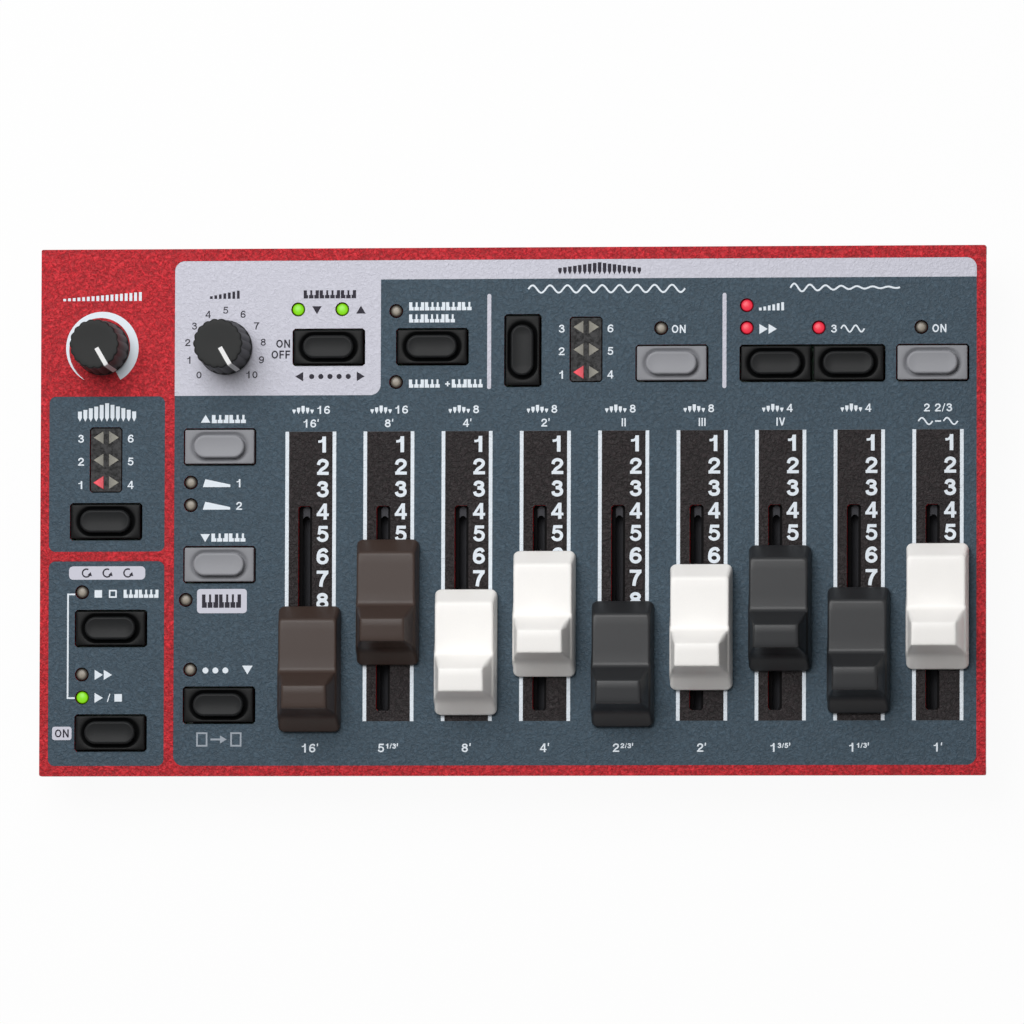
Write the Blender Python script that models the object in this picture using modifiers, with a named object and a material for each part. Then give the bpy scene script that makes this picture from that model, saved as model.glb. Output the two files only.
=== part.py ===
"""Organ section of a stage keyboard's control panel: nine drawbar faders, thirteen push buttons,
two level knobs, lamps and selector windows on a printed metal plate, with a circuit board and a
drafted tray below it.

The origin is at the middle of the tray's flat underside. X runs along the panel, Y towards the
rear of the instrument, and Z up, out of the panel.
"""

import math

import bmesh
import bpy

MM = 0.001

# Clearances between pieces that touch or run in each other
SEAT_GAP = 0.3 * MM
RUNNING_GAP = 0.4 * MM

# Printed metal plate
PANEL_LENGTH = 226.8 * MM
PANEL_DEPTH = 126.24 * MM
PANEL_THICKNESS = 2.0 * MM
PANEL_CORNER = 0.4 * MM

# Lips along the plate's front and rear edges, which stand in front of the tray's rim
LIP_DROP = 0.4 * MM

# Tray under the plate, whose walls lean in towards the floor
TRAY_FLOOR = 1.6 * MM
TRAY_WALL = 1.4 * MM
TRAY_INSET_X = 1.2 * MM
TRAY_INSET_Y = 2.4 * MM
TRAY_DRAFT = 3.0 * MM
TRAY_CORNER = 3.0 * MM
TRAY_BOTTOM_CHAMFER = 0.8 * MM

# Circuit board
BOARD_THICKNESS = 1.6 * MM
BOARD_CLEARANCE = 5.0 * MM
BOARD_EDGE_GAP = 0.9 * MM
BOARD_CORNER = 2.0 * MM
SOLDER_SINK = 0.2 * MM

# Slide potentiometers
FADER_COUNT = 9
FADER_PITCH = 18.78 * MM
FADER_TRAVEL = 42.8 * MM
HOUSING_LENGTH = 60.0 * MM
HOUSING_WIDTH = 9.0 * MM
HOUSING_HEIGHT = 6.6 * MM
HOUSING_FLOOR = 0.8 * MM
HOUSING_ROOF = 0.6 * MM
HOUSING_WALL = 1.3 * MM
HOUSING_LUG_LENGTH = 2.2 * MM
HOUSING_LUG_WIDTH = 5.0 * MM
HOUSING_LUG_THICKNESS = 1.2 * MM
CARRIAGE_LENGTH = 8.4 * MM
LEVER_THICKNESS = 1.2 * MM
LEVER_LENGTH = 3.2 * MM
LEVER_IN_CAP = 8.0 * MM
LEVER_TIP = 0.5 * MM
SLOT_WIDTH = 3.36 * MM
SLOT_CORNER = 0.5 * MM
SLOT_REAR_SPARE = 2.7 * MM
DUST_SHEET_THICKNESS = 0.5 * MM
DUST_SHEET_MARGIN = 3.0 * MM

# Drawbar caps, measured from their rear edge towards the player
CAP_LENGTH = 30.0 * MM
CAP_WIDTH = 14.9 * MM
CAP_LIFT = 0.5 * MM
CAP_RIM = 0.7 * MM
CAP_PLATEAU_WIDTH = 13.4 * MM
CAP_PLATEAU_HEIGHT = 5.5 * MM
CAP_PLATEAU_START = 3.2 * MM
CAP_PLATEAU_END = 15.8 * MM
CAP_NOSE_WIDTH = 10.2 * MM
CAP_NOSE_HEIGHT = 13.0 * MM
CAP_NOSE_FALL = 0.4 * MM
CAP_NOSE_START = 19.6 * MM
CAP_NOSE_END = 25.2 * MM
CAP_EDGE = 0.7 * MM
CAP_RIM_EASE = 0.05 * MM
CAP_POCKET_WALL = 1.6 * MM
CAP_LEVER_FROM_REAR = 22.1 * MM
CAP_SIDE_OFFSET = 1.27 * MM
CAP_COLOURS = ("brown", "brown", "white", "white", "black", "white", "black", "black", "white")
# How far each cap is drawn out from its stop at zero, as a share of the travel
CAP_DRAWN = (0.978, 0.606, 0.886, 0.673, 0.953, 0.749, 0.645, 0.879, 0.636)

# Push buttons
BUTTON_LENGTH = 16.6 * MM
BUTTON_WIDTH = 8.1 * MM
BUTTON_CORNER = 0.9 * MM
BUTTON_OPENING_GAP = 0.45 * MM
BUTTON_OPENING_CORNER = 0.6 * MM
BUTTON_PAIR_GAP = 0.8 * MM
BUTTON_PLATE_RISE = 1.0 * MM
BUTTON_RIM = 1.1 * MM
BUTTON_MOAT_DEPTH = 0.7 * MM
PILL_END_MOAT = 1.15 * MM
PILL_SIDE_MOAT = 0.25 * MM
PILL_RISE = 2.4 * MM
PILL_SHOULDER = 0.55 * MM
PILL_END_FLAT = 0.2 * MM
BUTTON_FLANGE = 0.8 * MM
BUTTON_FLANGE_REACH = 1.0 * MM
BUTTON_FLANGE_INSET = 0.8 * MM
BUTTON_STEM_RADIUS = 2.0 * MM
BUTTON_TRAVEL = 0.5 * MM
SWITCH_SIZE = 6.0 * MM
SWITCH_HEIGHT = 3.6 * MM
PLUNGER_RADIUS = 1.75 * MM
PLUNGER_HEIGHT = 5.0 * MM

# Level knobs and their rotary potentiometers
KNOB_BASE_RADIUS = 6.55 * MM
KNOB_TOP_RADIUS = 5.9 * MM
KNOB_HEIGHT = 15.0 * MM
KNOB_LIFT = 0.5 * MM
KNOB_SKIRT = 1.6 * MM
KNOB_SKIRT_STEP = 0.1 * MM
KNOB_TOP_ROUND = 0.6 * MM
KNOB_FLUTES = 18
KNOB_FLUTE_DEPTH = 0.45 * MM
KNOB_POINTS_PER_FLUTE = 3
KNOB_ROOF = 3.0 * MM
KNOB_AT_REST_DEG = -150.0
POINTER_WIDTH = 1.1 * MM
POINTER_DEPTH = 0.3 * MM
POINTER_START = 1.2 * MM
SHAFT_RADIUS = 2.5 * MM
SHAFT_FLAT = 0.9 * MM
BUSHING_RADIUS = 3.5 * MM
BUSHING_RISE = 1.0 * MM
POT_LENGTH = 9.8 * MM
POT_DEPTH = 11.4 * MM
POT_HEIGHT = 6.0 * MM
POT_FLOOR = 1.0 * MM

# Lamps and selector windows
LAMP_RADIUS = 1.4 * MM
LAMP_DOME = 0.5 * MM
LAMP_CROWN_SHARE = 0.7
LAMP_BELOW_TOP = 0.1 * MM
WINDOW_LENGTH = 15.1 * MM
WINDOW_WIDTH = 7.3 * MM
WINDOW_CORNER = 0.4 * MM
WINDOW_BELOW_TOP = 0.2 * MM
WINDOW_FLANGE = 0.8 * MM
WINDOW_FLANGE_REACH = 0.8 * MM
ARROW_WIDTH = 2.5 * MM
ARROW_HEIGHT = 3.2 * MM
ARROW_COLUMN = 1.85 * MM
ARROW_PITCH = 5.4 * MM
ARROW_DEPTH = 0.5 * MM

# Screws that clamp tray, board and plate together
BOSS_RADIUS = 2.8 * MM
SCREW_RADIUS = 1.3 * MM
SCREW_GRIP = 5.0 * MM
SCREW_HEAD_RADIUS = 2.6 * MM
SCREW_HEAD_HEIGHT = 1.7 * MM
SCREW_HEAD_SUNK = 0.5 * MM
SCREW_HEAD_FACE_SHARE = 0.8
SCREW_DRIVE_WIDTH = 2.0 * MM
SCREW_DRIVE_DEPTH = 0.9 * MM
STANDOFF_RADIUS = 4.1 * MM
# Two of the front screws stand between faders, after the fourth and the eighth
FADERS_BEFORE_SCREWS = (4, 8)
FRONT_SCREW_SHARE = -0.4262

# Flat cable connector under the board
CONNECTOR_LENGTH = 34.0 * MM
CONNECTOR_DEPTH = 5.6 * MM
CONNECTOR_HEIGHT = 2.8 * MM
CONNECTOR_MOUTH_LENGTH = 28.0 * MM
CONNECTOR_MOUTH_HEIGHT = 1.0 * MM
CONNECTOR_MOUTH_DEPTH = 3.6 * MM
CONNECTOR_FROM_EDGE = 4.0 * MM
CABLE_SLOT_HEIGHT = 2.2 * MM

# Where the controls sit, as shares of the plate's length and depth from its middle
FIRST_FADER_SHARE = -0.2127
SLOT_REAR_SHARE = 0.0111
KNOB_SPOTS = ((-0.4347, 0.3121), (-0.3038, 0.3121))
WINDOW_SPOTS = ((-0.4303, 0.0998), (0.0785, 0.3058))
LAMP_SPOTS = (
    (-0.2266, 0.3842), (-0.1799, 0.3842), (-0.4546, -0.3509),
    (0.2482, 0.3881), (0.2482, 0.3454), (0.3241, 0.3454),
    (-0.1226, 0.3802), (-0.1226, 0.2456), (-0.3399, 0.0562), (-0.3399, 0.0135),
    (-0.3448, -0.1663), (-0.3399, -0.2986), (-0.4550, -0.1513), (-0.4550, -0.3074),
    (0.1578, 0.3454), (0.4321, 0.3454),
)
# Name, place, colour and quarter turns of the single buttons
BUTTONS = (
    ("model_button", (-0.4299, -0.0174), "black", 0),
    ("rotary_stop_button", (-0.4242, -0.2202), "black", 0),
    ("rotary_on_button", (-0.4242, -0.4183), "black", 0),
    ("octave_up_button", (-0.3091, 0.1236), "grey", 0),
    ("octave_down_button", (-0.3091, -0.0998), "grey", 0),
    ("preset_button", (-0.3091, -0.3660), "black", 0),
    ("zone_button", (-0.1940, 0.3121), "black", 0),
    ("manual_edit_button", (-0.0842, 0.3121), "black", 0),
    ("vibrato_select_button", (0.0117, 0.3042), "black", 1),
    ("vibrato_on_button", (0.1693, 0.2788), "grey", 0),
    ("percussion_on_button", (0.4440, 0.2780), "grey", 0),
)
# The left one of two buttons that share one opening
PAIR_LEFT_SPOT = (0.2791, 0.2780)
PAIR_NAMES = ("percussion_fast_button", "percussion_third_button")
SCREW_SPOTS = ((-0.3668, FRONT_SCREW_SHARE), (-0.3668, 0.4040), (0.1168, 0.4040), (0.3880, 0.4040))
CONNECTOR_SHARE = -0.1300

# Levels, from the floor up
TRAY_FLOOR_TOP = TRAY_FLOOR
BOARD_BOTTOM = TRAY_FLOOR_TOP + BOARD_CLEARANCE
BOARD_TOP = BOARD_BOTTOM + BOARD_THICKNESS
HOUSING_BOTTOM = BOARD_TOP + SEAT_GAP
HOUSING_TOP = HOUSING_BOTTOM + HOUSING_HEIGHT
DUST_SHEET_BOTTOM = HOUSING_TOP + SEAT_GAP
DUST_SHEET_TOP = DUST_SHEET_BOTTOM + DUST_SHEET_THICKNESS
PANEL_BOTTOM = DUST_SHEET_TOP + SEAT_GAP
PANEL_TOP = PANEL_BOTTOM + PANEL_THICKNESS
TRAY_TOP = PANEL_BOTTOM - SEAT_GAP

# Sizes that follow from the fits
SLOT_LENGTH = FADER_TRAVEL + LEVER_LENGTH + SLOT_REAR_SPARE + SEAT_GAP
CAVITY_LENGTH = FADER_TRAVEL + CARRIAGE_LENGTH + 2 * RUNNING_GAP
CAVITY_WIDTH = HOUSING_WIDTH - 2 * HOUSING_WALL
LEVER_SLIT = LEVER_THICKNESS + 2 * SEAT_GAP
OPENING_LENGTH = BUTTON_LENGTH + 2 * BUTTON_OPENING_GAP
OPENING_WIDTH = BUTTON_WIDTH + 2 * BUTTON_OPENING_GAP
PILL_LENGTH = BUTTON_LENGTH - 2 * (BUTTON_RIM + PILL_END_MOAT)
PILL_WIDTH = BUTTON_WIDTH - 2 * (BUTTON_RIM + PILL_SIDE_MOAT)
TRAY_TOP_LENGTH = PANEL_LENGTH - 2 * TRAY_INSET_X
TRAY_TOP_DEPTH = PANEL_DEPTH - 2 * TRAY_INSET_Y
SCREW_HEAD_ROOM = SCREW_HEAD_RADIUS + SEAT_GAP
SCREW_HOLE_RADIUS = SCREW_RADIUS + SEAT_GAP

COLOURS = {
    "red_paint": ((0.42, 0.030, 0.040), 0.0, 0.55),
    "brown": ((0.075, 0.052, 0.044), 0.0, 0.45),
    "white": ((0.78, 0.76, 0.72), 0.0, 0.40),
    "black": ((0.028, 0.029, 0.031), 0.0, 0.42),
    "grey": ((0.30, 0.30, 0.31), 0.0, 0.50),
    "steel": ((0.62, 0.63, 0.65), 1.0, 0.35),
    "tray_paint": ((0.035, 0.036, 0.040), 0.0, 0.60),
    "board": ((0.020, 0.140, 0.060), 0.0, 0.40),
    "felt": ((0.015, 0.015, 0.016), 0.0, 0.95),
    "smoked": ((0.060, 0.055, 0.050), 0.0, 0.30),
    "cream": ((0.62, 0.58, 0.48), 0.0, 0.50),
}


def clear_scene():
    for item in list(bpy.context.scene.objects):
        bpy.data.objects.remove(item, do_unlink=True)


def make_collection(name):
    collection = bpy.data.collections.new(name)
    bpy.context.scene.collection.children.link(collection)
    return collection


def finish_of(name):
    """The Principled material of one colour, made once."""
    material = bpy.data.materials.get(name)
    if material is None:
        colour, metallic, roughness = COLOURS[name]
        material = bpy.data.materials.new(name)
        material.use_nodes = True
        shader = material.node_tree.nodes["Principled BSDF"]
        shader.inputs["Base Color"].default_value = (*colour, 1.0)
        shader.inputs["Metallic"].default_value = metallic
        shader.inputs["Roughness"].default_value = roughness
    return material


def link_mesh(name, mesh, collection):
    piece = bpy.data.objects.new(name, mesh)
    collection.objects.link(piece)
    return piece


def from_bmesh(name, shape, collection):
    mesh = bpy.data.meshes.new(name)
    shape.to_mesh(mesh)
    shape.free()
    return link_mesh(name, mesh, collection)


def evaluated_mesh(piece):
    """The piece's mesh with its modifiers worked in."""
    bpy.context.view_layer.update()
    graph = bpy.context.evaluated_depsgraph_get()
    return bpy.data.meshes.new_from_object(piece.evaluated_get(graph))


def spot(share_x, share_y):
    return share_x * PANEL_LENGTH, share_y * PANEL_DEPTH


def rounded_rectangle(length, width, radius, steps=3, centre=(0.0, 0.0)):
    """Corner points of a rounded rectangle, counter-clockwise, steps + 1 of them to a corner."""
    points = []
    for corner, (sign_x, sign_y) in enumerate(((1, 1), (-1, 1), (-1, -1), (1, -1))):
        middle_x = centre[0] + sign_x * (length / 2 - radius)
        middle_y = centre[1] + sign_y * (width / 2 - radius)
        for step in range(steps + 1):
            angle = math.pi / 2 * (corner + step / steps)
            points.append((middle_x + radius * math.cos(angle), middle_y + radius * math.sin(angle)))
    return points


def oblong(length, width):
    """A rounded rectangle whose short sides are almost half circles."""
    return rounded_rectangle(length, width, (width - PILL_END_FLAT) / 2)


def circle(radius, sides=16, centre=(0.0, 0.0)):
    return [
        (centre[0] + radius * math.cos(2 * math.pi * side / sides),
         centre[1] + radius * math.sin(2 * math.pi * side / sides))
        for side in range(sides)
    ]


def d_outline(radius, flat, steps=12):
    """A circle with one flat, which stands that far in from the rim on +X."""
    half = math.acos((radius - flat) / radius)
    return [
        (radius * math.cos(half + (2 * math.pi - 2 * half) * step / steps),
         radius * math.sin(half + (2 * math.pi - 2 * half) * step / steps))
        for step in range(steps + 1)
    ]


def flat_solid(name, outline, low, high, collection):
    """A flat outline, given as points, as a solid between two levels."""
    curve = bpy.data.curves.new(name + "_outline", "CURVE")
    curve.dimensions = "2D"
    curve.fill_mode = "BOTH"
    curve.extrude = (high - low) / 2
    spline = curve.splines.new("POLY")
    spline.points.add(len(outline) - 1)
    for point, (x, y) in zip(spline.points, outline):
        point.co = (x, y, 0.0, 1.0)
    spline.use_cyclic_u = True
    guide = bpy.data.objects.new(name + "_outline", curve)
    collection.objects.link(guide)
    mesh = evaluated_mesh(guide)
    bpy.data.objects.remove(guide, do_unlink=True)
    shape = bmesh.new()
    shape.from_mesh(mesh)
    bpy.data.meshes.remove(mesh)
    bmesh.ops.remove_doubles(shape, verts=shape.verts, dist=0.001 * MM)
    bmesh.ops.recalc_face_normals(shape, faces=shape.faces)
    bmesh.ops.translate(shape, verts=shape.verts, vec=(0.0, 0.0, (low + high) / 2))
    return from_bmesh(name, shape, collection)


def loft(name, rings, collection):
    """A closed skin over rings of equally many points, with a flat cap on the first and last."""
    shape = bmesh.new()
    rows = [[shape.verts.new(point) for point in ring] for ring in rings]
    count = len(rows[0])
    for lower, upper in zip(rows, rows[1:]):
        for index in range(count):
            following = (index + 1) % count
            shape.faces.new((lower[index], lower[following], upper[following], upper[index]))
    shape.faces.new(rows[0])
    shape.faces.new(rows[-1])
    bmesh.ops.recalc_face_normals(shape, faces=shape.faces)
    return from_bmesh(name, shape, collection)


def box(name, size, centre, collection):
    shape = bmesh.new()
    bmesh.ops.create_cube(shape, size=1.0)
    bmesh.ops.scale(shape, verts=shape.verts, vec=size)
    bmesh.ops.translate(shape, verts=shape.verts, vec=centre)
    return from_bmesh(name, shape, collection)


def cylinder(name, radius, low, high, centre, collection, sides=16):
    shape = bmesh.new()
    bmesh.ops.create_cone(
        shape, cap_ends=True, segments=sides, radius1=radius, radius2=radius, depth=high - low
    )
    bmesh.ops.translate(shape, verts=shape.verts, vec=(centre[0], centre[1], (low + high) / 2))
    return from_bmesh(name, shape, collection)


def turned(name, profile, centre, collection, steps=16):
    """A profile of (radius, height) points, from its top on the axis to its bottom, turned on Z."""
    outline = bpy.data.meshes.new(name)
    points = [(radius, 0.0, height) for radius, height in profile]
    outline.from_pydata(points, [(index, index + 1) for index in range(len(points) - 1)], [])
    guide = link_mesh(name + "_profile", outline, collection)
    turn = guide.modifiers.new("turn", "SCREW")
    turn.steps = steps
    turn.render_steps = steps
    turn.use_merge_vertices = True
    turn.merge_threshold = 0.001 * MM
    mesh = evaluated_mesh(guide)
    bpy.data.objects.remove(guide, do_unlink=True)
    shape = bmesh.new()
    shape.from_mesh(mesh)
    bpy.data.meshes.remove(mesh)
    bmesh.ops.remove_doubles(shape, verts=shape.verts, dist=0.001 * MM)
    bmesh.ops.translate(shape, verts=shape.verts, vec=(centre[0], centre[1], 0.0))
    return from_bmesh(name, shape, collection)


def gather(name, pieces, collection):
    """Several solids in one mesh, for one Boolean."""
    shape = bmesh.new()
    for piece in pieces:
        shape.from_mesh(piece.data)
        bpy.data.objects.remove(piece, do_unlink=True)
    return from_bmesh(name, shape, collection)


def combine(piece, tool, operation):
    """Joins a tool to a piece or cuts it out, and keeps the tool as a hidden guide."""
    tool.hide_render = True
    tool.display_type = "WIRE"
    change = piece.modifiers.new(tool.name, "BOOLEAN")
    change.object = tool
    change.operation = operation
    change.solver = "EXACT"


def pierced_plate(name, outline, holes, low, high, parts, tools):
    """A plate between two levels with an opening for each outline in holes."""
    plate = flat_solid(name, outline, low, high, parts)
    punches = [flat_solid("punch", hole, low - SEAT_GAP, high + SEAT_GAP, tools) for hole in holes]
    combine(plate, gather(name + "_punches", punches, tools), "DIFFERENCE")
    return plate


def settle(piece):
    """Works a master's modifiers into its mesh and hands the mesh over for the copies."""
    mesh = evaluated_mesh(piece)
    bpy.data.objects.remove(piece, do_unlink=True)
    mesh.shade_smooth()
    mesh.set_sharp_from_angle(angle=math.radians(35))
    return mesh


def place(name, mesh, colour, place_at, collection, parent=None, turn=0.0):
    """A named piece that shows one colour on a mesh which others may share."""
    piece = link_mesh(name, mesh, collection)
    if not mesh.materials:
        mesh.materials.append(finish_of(colour))
    piece.material_slots[0].link = "OBJECT"
    piece.material_slots[0].material = finish_of(colour)
    piece.location = place_at
    piece.rotation_euler = (0.0, 0.0, turn)
    piece.parent = parent
    return piece


def joint_empty(name, at, collection):
    empty = bpy.data.objects.new(name, None)
    empty.empty_display_size = 4 * MM
    empty.location = at
    collection.objects.link(empty)
    return empty


def slot_x(index):
    """Where a fader's slot runs, left of the middle of its printed scale."""
    return FIRST_FADER_SHARE * PANEL_LENGTH + index * FADER_PITCH - CAP_SIDE_OFFSET


def slot_rear_y():
    return SLOT_REAR_SHARE * PANEL_DEPTH


def lever_y(drawn):
    """The lever's place for a share of its travel, from the stop at zero towards the player."""
    at_zero = slot_rear_y() - SLOT_REAR_SPARE - LEVER_LENGTH / 2
    return at_zero - drawn * FADER_TRAVEL


def button_places():
    """Every button as its name, place, colour and quarter turns."""
    left_x, left_y = spot(*PAIR_LEFT_SPOT)
    listed = [(name, spot(*at), colour, turns) for name, at, colour, turns in BUTTONS]
    listed.append((PAIR_NAMES[0], (left_x, left_y), "black", 0))
    right_x = left_x + BUTTON_LENGTH + BUTTON_PAIR_GAP
    listed.append((PAIR_NAMES[1], (right_x, left_y), "black", 0))
    return listed


def button_openings():
    """The outlines of the openings, of which the pair's is one for two buttons."""
    outlines = []
    for _, at, _, turns in BUTTONS:
        size = (OPENING_LENGTH, OPENING_WIDTH) if turns == 0 else (OPENING_WIDTH, OPENING_LENGTH)
        outlines.append(rounded_rectangle(*size, BUTTON_OPENING_CORNER, 1, spot(*at)))
    left_x, left_y = spot(*PAIR_LEFT_SPOT)
    pitch = BUTTON_LENGTH + BUTTON_PAIR_GAP
    middle = (left_x + pitch / 2, left_y)
    outlines.append(
        rounded_rectangle(OPENING_LENGTH + pitch, OPENING_WIDTH, BUTTON_OPENING_CORNER, 1, middle)
    )
    return outlines


def fader_slots(length, width, corner, steps):
    """One long outline over each fader, lined up on the rear end of the plate's slots."""
    middle_y = slot_rear_y() - length / 2
    return [
        rounded_rectangle(width, length, corner, steps, (slot_x(index), middle_y))
        for index in range(FADER_COUNT)
    ]


def screw_places():
    """Where the six screws stand: at the plate's own places and between faders."""
    between = [
        (slot_x(count - 1) + FADER_PITCH / 2, FRONT_SCREW_SHARE * PANEL_DEPTH)
        for count in FADERS_BEFORE_SCREWS
    ]
    return [spot(*at) for at in SCREW_SPOTS] + between


def make_front_panel(parts, tools):
    """The printed plate with its slots, openings and holes, and the screw bosses under it."""
    holes = fader_slots(SLOT_LENGTH, SLOT_WIDTH, SLOT_CORNER, 1)
    holes += button_openings()
    holes += [circle(LAMP_RADIUS + SEAT_GAP, 16, spot(*at)) for at in LAMP_SPOTS]
    holes += [circle(BUSHING_RADIUS + SEAT_GAP, 20, spot(*at)) for at in KNOB_SPOTS]
    for at in WINDOW_SPOTS:
        holes.append(
            rounded_rectangle(WINDOW_WIDTH + 2 * SEAT_GAP, WINDOW_LENGTH + 2 * SEAT_GAP,
                              BUTTON_OPENING_CORNER, 1, spot(*at))
        )
    outline = rounded_rectangle(PANEL_LENGTH, PANEL_DEPTH, PANEL_CORNER)
    lip_bottom = PANEL_BOTTOM - LIP_DROP
    panel = pierced_plate("front_panel", outline, holes, lip_bottom, PANEL_TOP, parts, tools)
    relief = box("relief_between_lips",
                 (PANEL_LENGTH + 4 * SEAT_GAP, TRAY_TOP_DEPTH + 2 * SEAT_GAP, 2 * LIP_DROP),
                 (0.0, 0.0, lip_bottom), tools)
    combine(panel, relief, "DIFFERENCE")
    boss_end = BOARD_TOP + SEAT_GAP
    bosses = [
        cylinder("boss", BOSS_RADIUS, boss_end, PANEL_BOTTOM + SOLDER_SINK, at, tools, 12)
        for at in screw_places()
    ]
    combine(panel, gather("panel_bosses", bosses, tools), "UNION")
    bores = [
        cylinder("bore", SCREW_HOLE_RADIUS, boss_end - SEAT_GAP, boss_end + SCREW_GRIP + SEAT_GAP,
                 at, tools, 12)
        for at in screw_places()
    ]
    combine(panel, gather("panel_screw_bores", bores, tools), "DIFFERENCE")
    panel.data.materials.append(finish_of("red_paint"))


def tray_ring(level, grown=0.0):
    """The tray's outline at a height, drawn in by its draft towards the floor."""
    drawn_in = TRAY_DRAFT * (TRAY_TOP - level) / TRAY_TOP
    length = TRAY_TOP_LENGTH - 2 * drawn_in + 2 * grown
    depth = TRAY_TOP_DEPTH - 2 * drawn_in + 2 * grown
    return [(x, y, level) for x, y in rounded_rectangle(length, depth, TRAY_CORNER + grown, 4)]


def make_bottom_cover(parts, tools):
    """The tray that closes the underside, with a standoff round each screw."""
    chamfered = [(x, y, 0.0) for x, y, _ in tray_ring(0.0, -TRAY_BOTTOM_CHAMFER)]
    cover = loft(
        "bottom_cover",
        [chamfered, tray_ring(TRAY_BOTTOM_CHAMFER), tray_ring(TRAY_TOP),
         tray_ring(TRAY_TOP, -TRAY_WALL), tray_ring(TRAY_FLOOR_TOP, -TRAY_WALL)],
        parts,
    )
    head_top = SCREW_HEAD_SUNK + SCREW_HEAD_HEIGHT + SEAT_GAP
    standoffs, holes = [], []
    for where in screw_places():
        standoffs.append(
            cylinder("standoff", STANDOFF_RADIUS, TRAY_FLOOR_TOP - SOLDER_SINK,
                     BOARD_BOTTOM - SEAT_GAP, where, tools, 12)
        )
        holes.append(
            turned("screw_room",
                   ((0.0, BOARD_BOTTOM), (SCREW_HOLE_RADIUS, BOARD_BOTTOM),
                    (SCREW_HOLE_RADIUS, head_top), (SCREW_HEAD_ROOM, head_top),
                    (SCREW_HEAD_ROOM, -SEAT_GAP), (0.0, -SEAT_GAP)),
                   where, tools, 12)
        )
    combine(cover, gather("cover_standoffs", standoffs, tools), "UNION")
    combine(cover, gather("cover_screw_holes", holes, tools), "DIFFERENCE")
    mouth = BOARD_BOTTOM - SEAT_GAP - CONNECTOR_HEIGHT / 2
    rear = TRAY_TOP_DEPTH / 2
    slot = box("cable_slot", (CONNECTOR_MOUTH_LENGTH + 4 * SEAT_GAP, 4 * TRAY_DRAFT, CABLE_SLOT_HEIGHT),
               (CONNECTOR_SHARE * PANEL_LENGTH, rear, mouth), tools)
    combine(cover, slot, "DIFFERENCE")
    cover.data.materials.append(finish_of("tray_paint"))


def board_size():
    """The board's length and depth, which clear the leaning walls at its underside."""
    drawn_in = TRAY_DRAFT * (TRAY_TOP - BOARD_BOTTOM) / TRAY_TOP + TRAY_WALL + BOARD_EDGE_GAP
    return TRAY_TOP_LENGTH - 2 * drawn_in, TRAY_TOP_DEPTH - 2 * drawn_in


def make_circuit_board(parts, tools):
    """The board with its soldered push switches and lamps."""
    holes = [circle(SCREW_HOLE_RADIUS, 12, at) for at in screw_places()]
    outline = rounded_rectangle(*board_size(), BOARD_CORNER)
    board = pierced_plate("circuit_board", outline, holes, BOARD_BOTTOM, BOARD_TOP, parts, tools)
    low = BOARD_TOP - SOLDER_SINK
    soldered = []
    for _, (x, y), _, _ in button_places():
        middle = (x, y, (low + BOARD_TOP + SWITCH_HEIGHT) / 2)
        size = (SWITCH_SIZE, SWITCH_SIZE, BOARD_TOP + SWITCH_HEIGHT - low)
        soldered.append(box("switch", size, middle, tools))
    combine(board, gather("switch_bodies", soldered, tools), "UNION")
    plungers = [
        cylinder("plunger", PLUNGER_RADIUS, BOARD_TOP + SWITCH_HEIGHT - SOLDER_SINK,
                 BOARD_TOP + PLUNGER_HEIGHT, at, tools, 8)
        for _, at, _, _ in button_places()
    ]
    lamp_top = PANEL_TOP - LAMP_BELOW_TOP
    lamp_profile = (
        (0.0, lamp_top),
        (LAMP_CROWN_SHARE * LAMP_RADIUS, lamp_top - (1 - LAMP_CROWN_SHARE) * LAMP_DOME),
        (LAMP_RADIUS, lamp_top - LAMP_DOME), (LAMP_RADIUS, low), (0.0, low),
    )
    lamps = [turned("lamp", lamp_profile, spot(*at), tools, 10) for at in LAMP_SPOTS]
    combine(board, gather("switch_plungers", plungers, tools), "UNION")
    combine(board, gather("soldered_lamps", lamps, tools), "UNION")
    board.data.materials.append(finish_of("board"))


def make_dust_sheet(parts, tools):
    """The felt under the slots, slit for the levers, which shows as two lips in each slot."""
    length = (FADER_COUNT - 1) * FADER_PITCH + SLOT_WIDTH + 2 * DUST_SHEET_MARGIN
    depth = SLOT_LENGTH + 2 * DUST_SHEET_MARGIN
    middle = ((slot_x(0) + slot_x(FADER_COUNT - 1)) / 2, slot_rear_y() - SLOT_LENGTH / 2)
    outline = rounded_rectangle(length, depth, BOARD_CORNER, 3, middle)
    slits = fader_slots(SLOT_LENGTH, LEVER_SLIT, LEVER_SLIT / 3, 1)
    sheet = pierced_plate("dust_sheet", outline, slits, DUST_SHEET_BOTTOM, DUST_SHEET_TOP, parts, tools)
    sheet.data.materials.append(finish_of("felt"))


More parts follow.
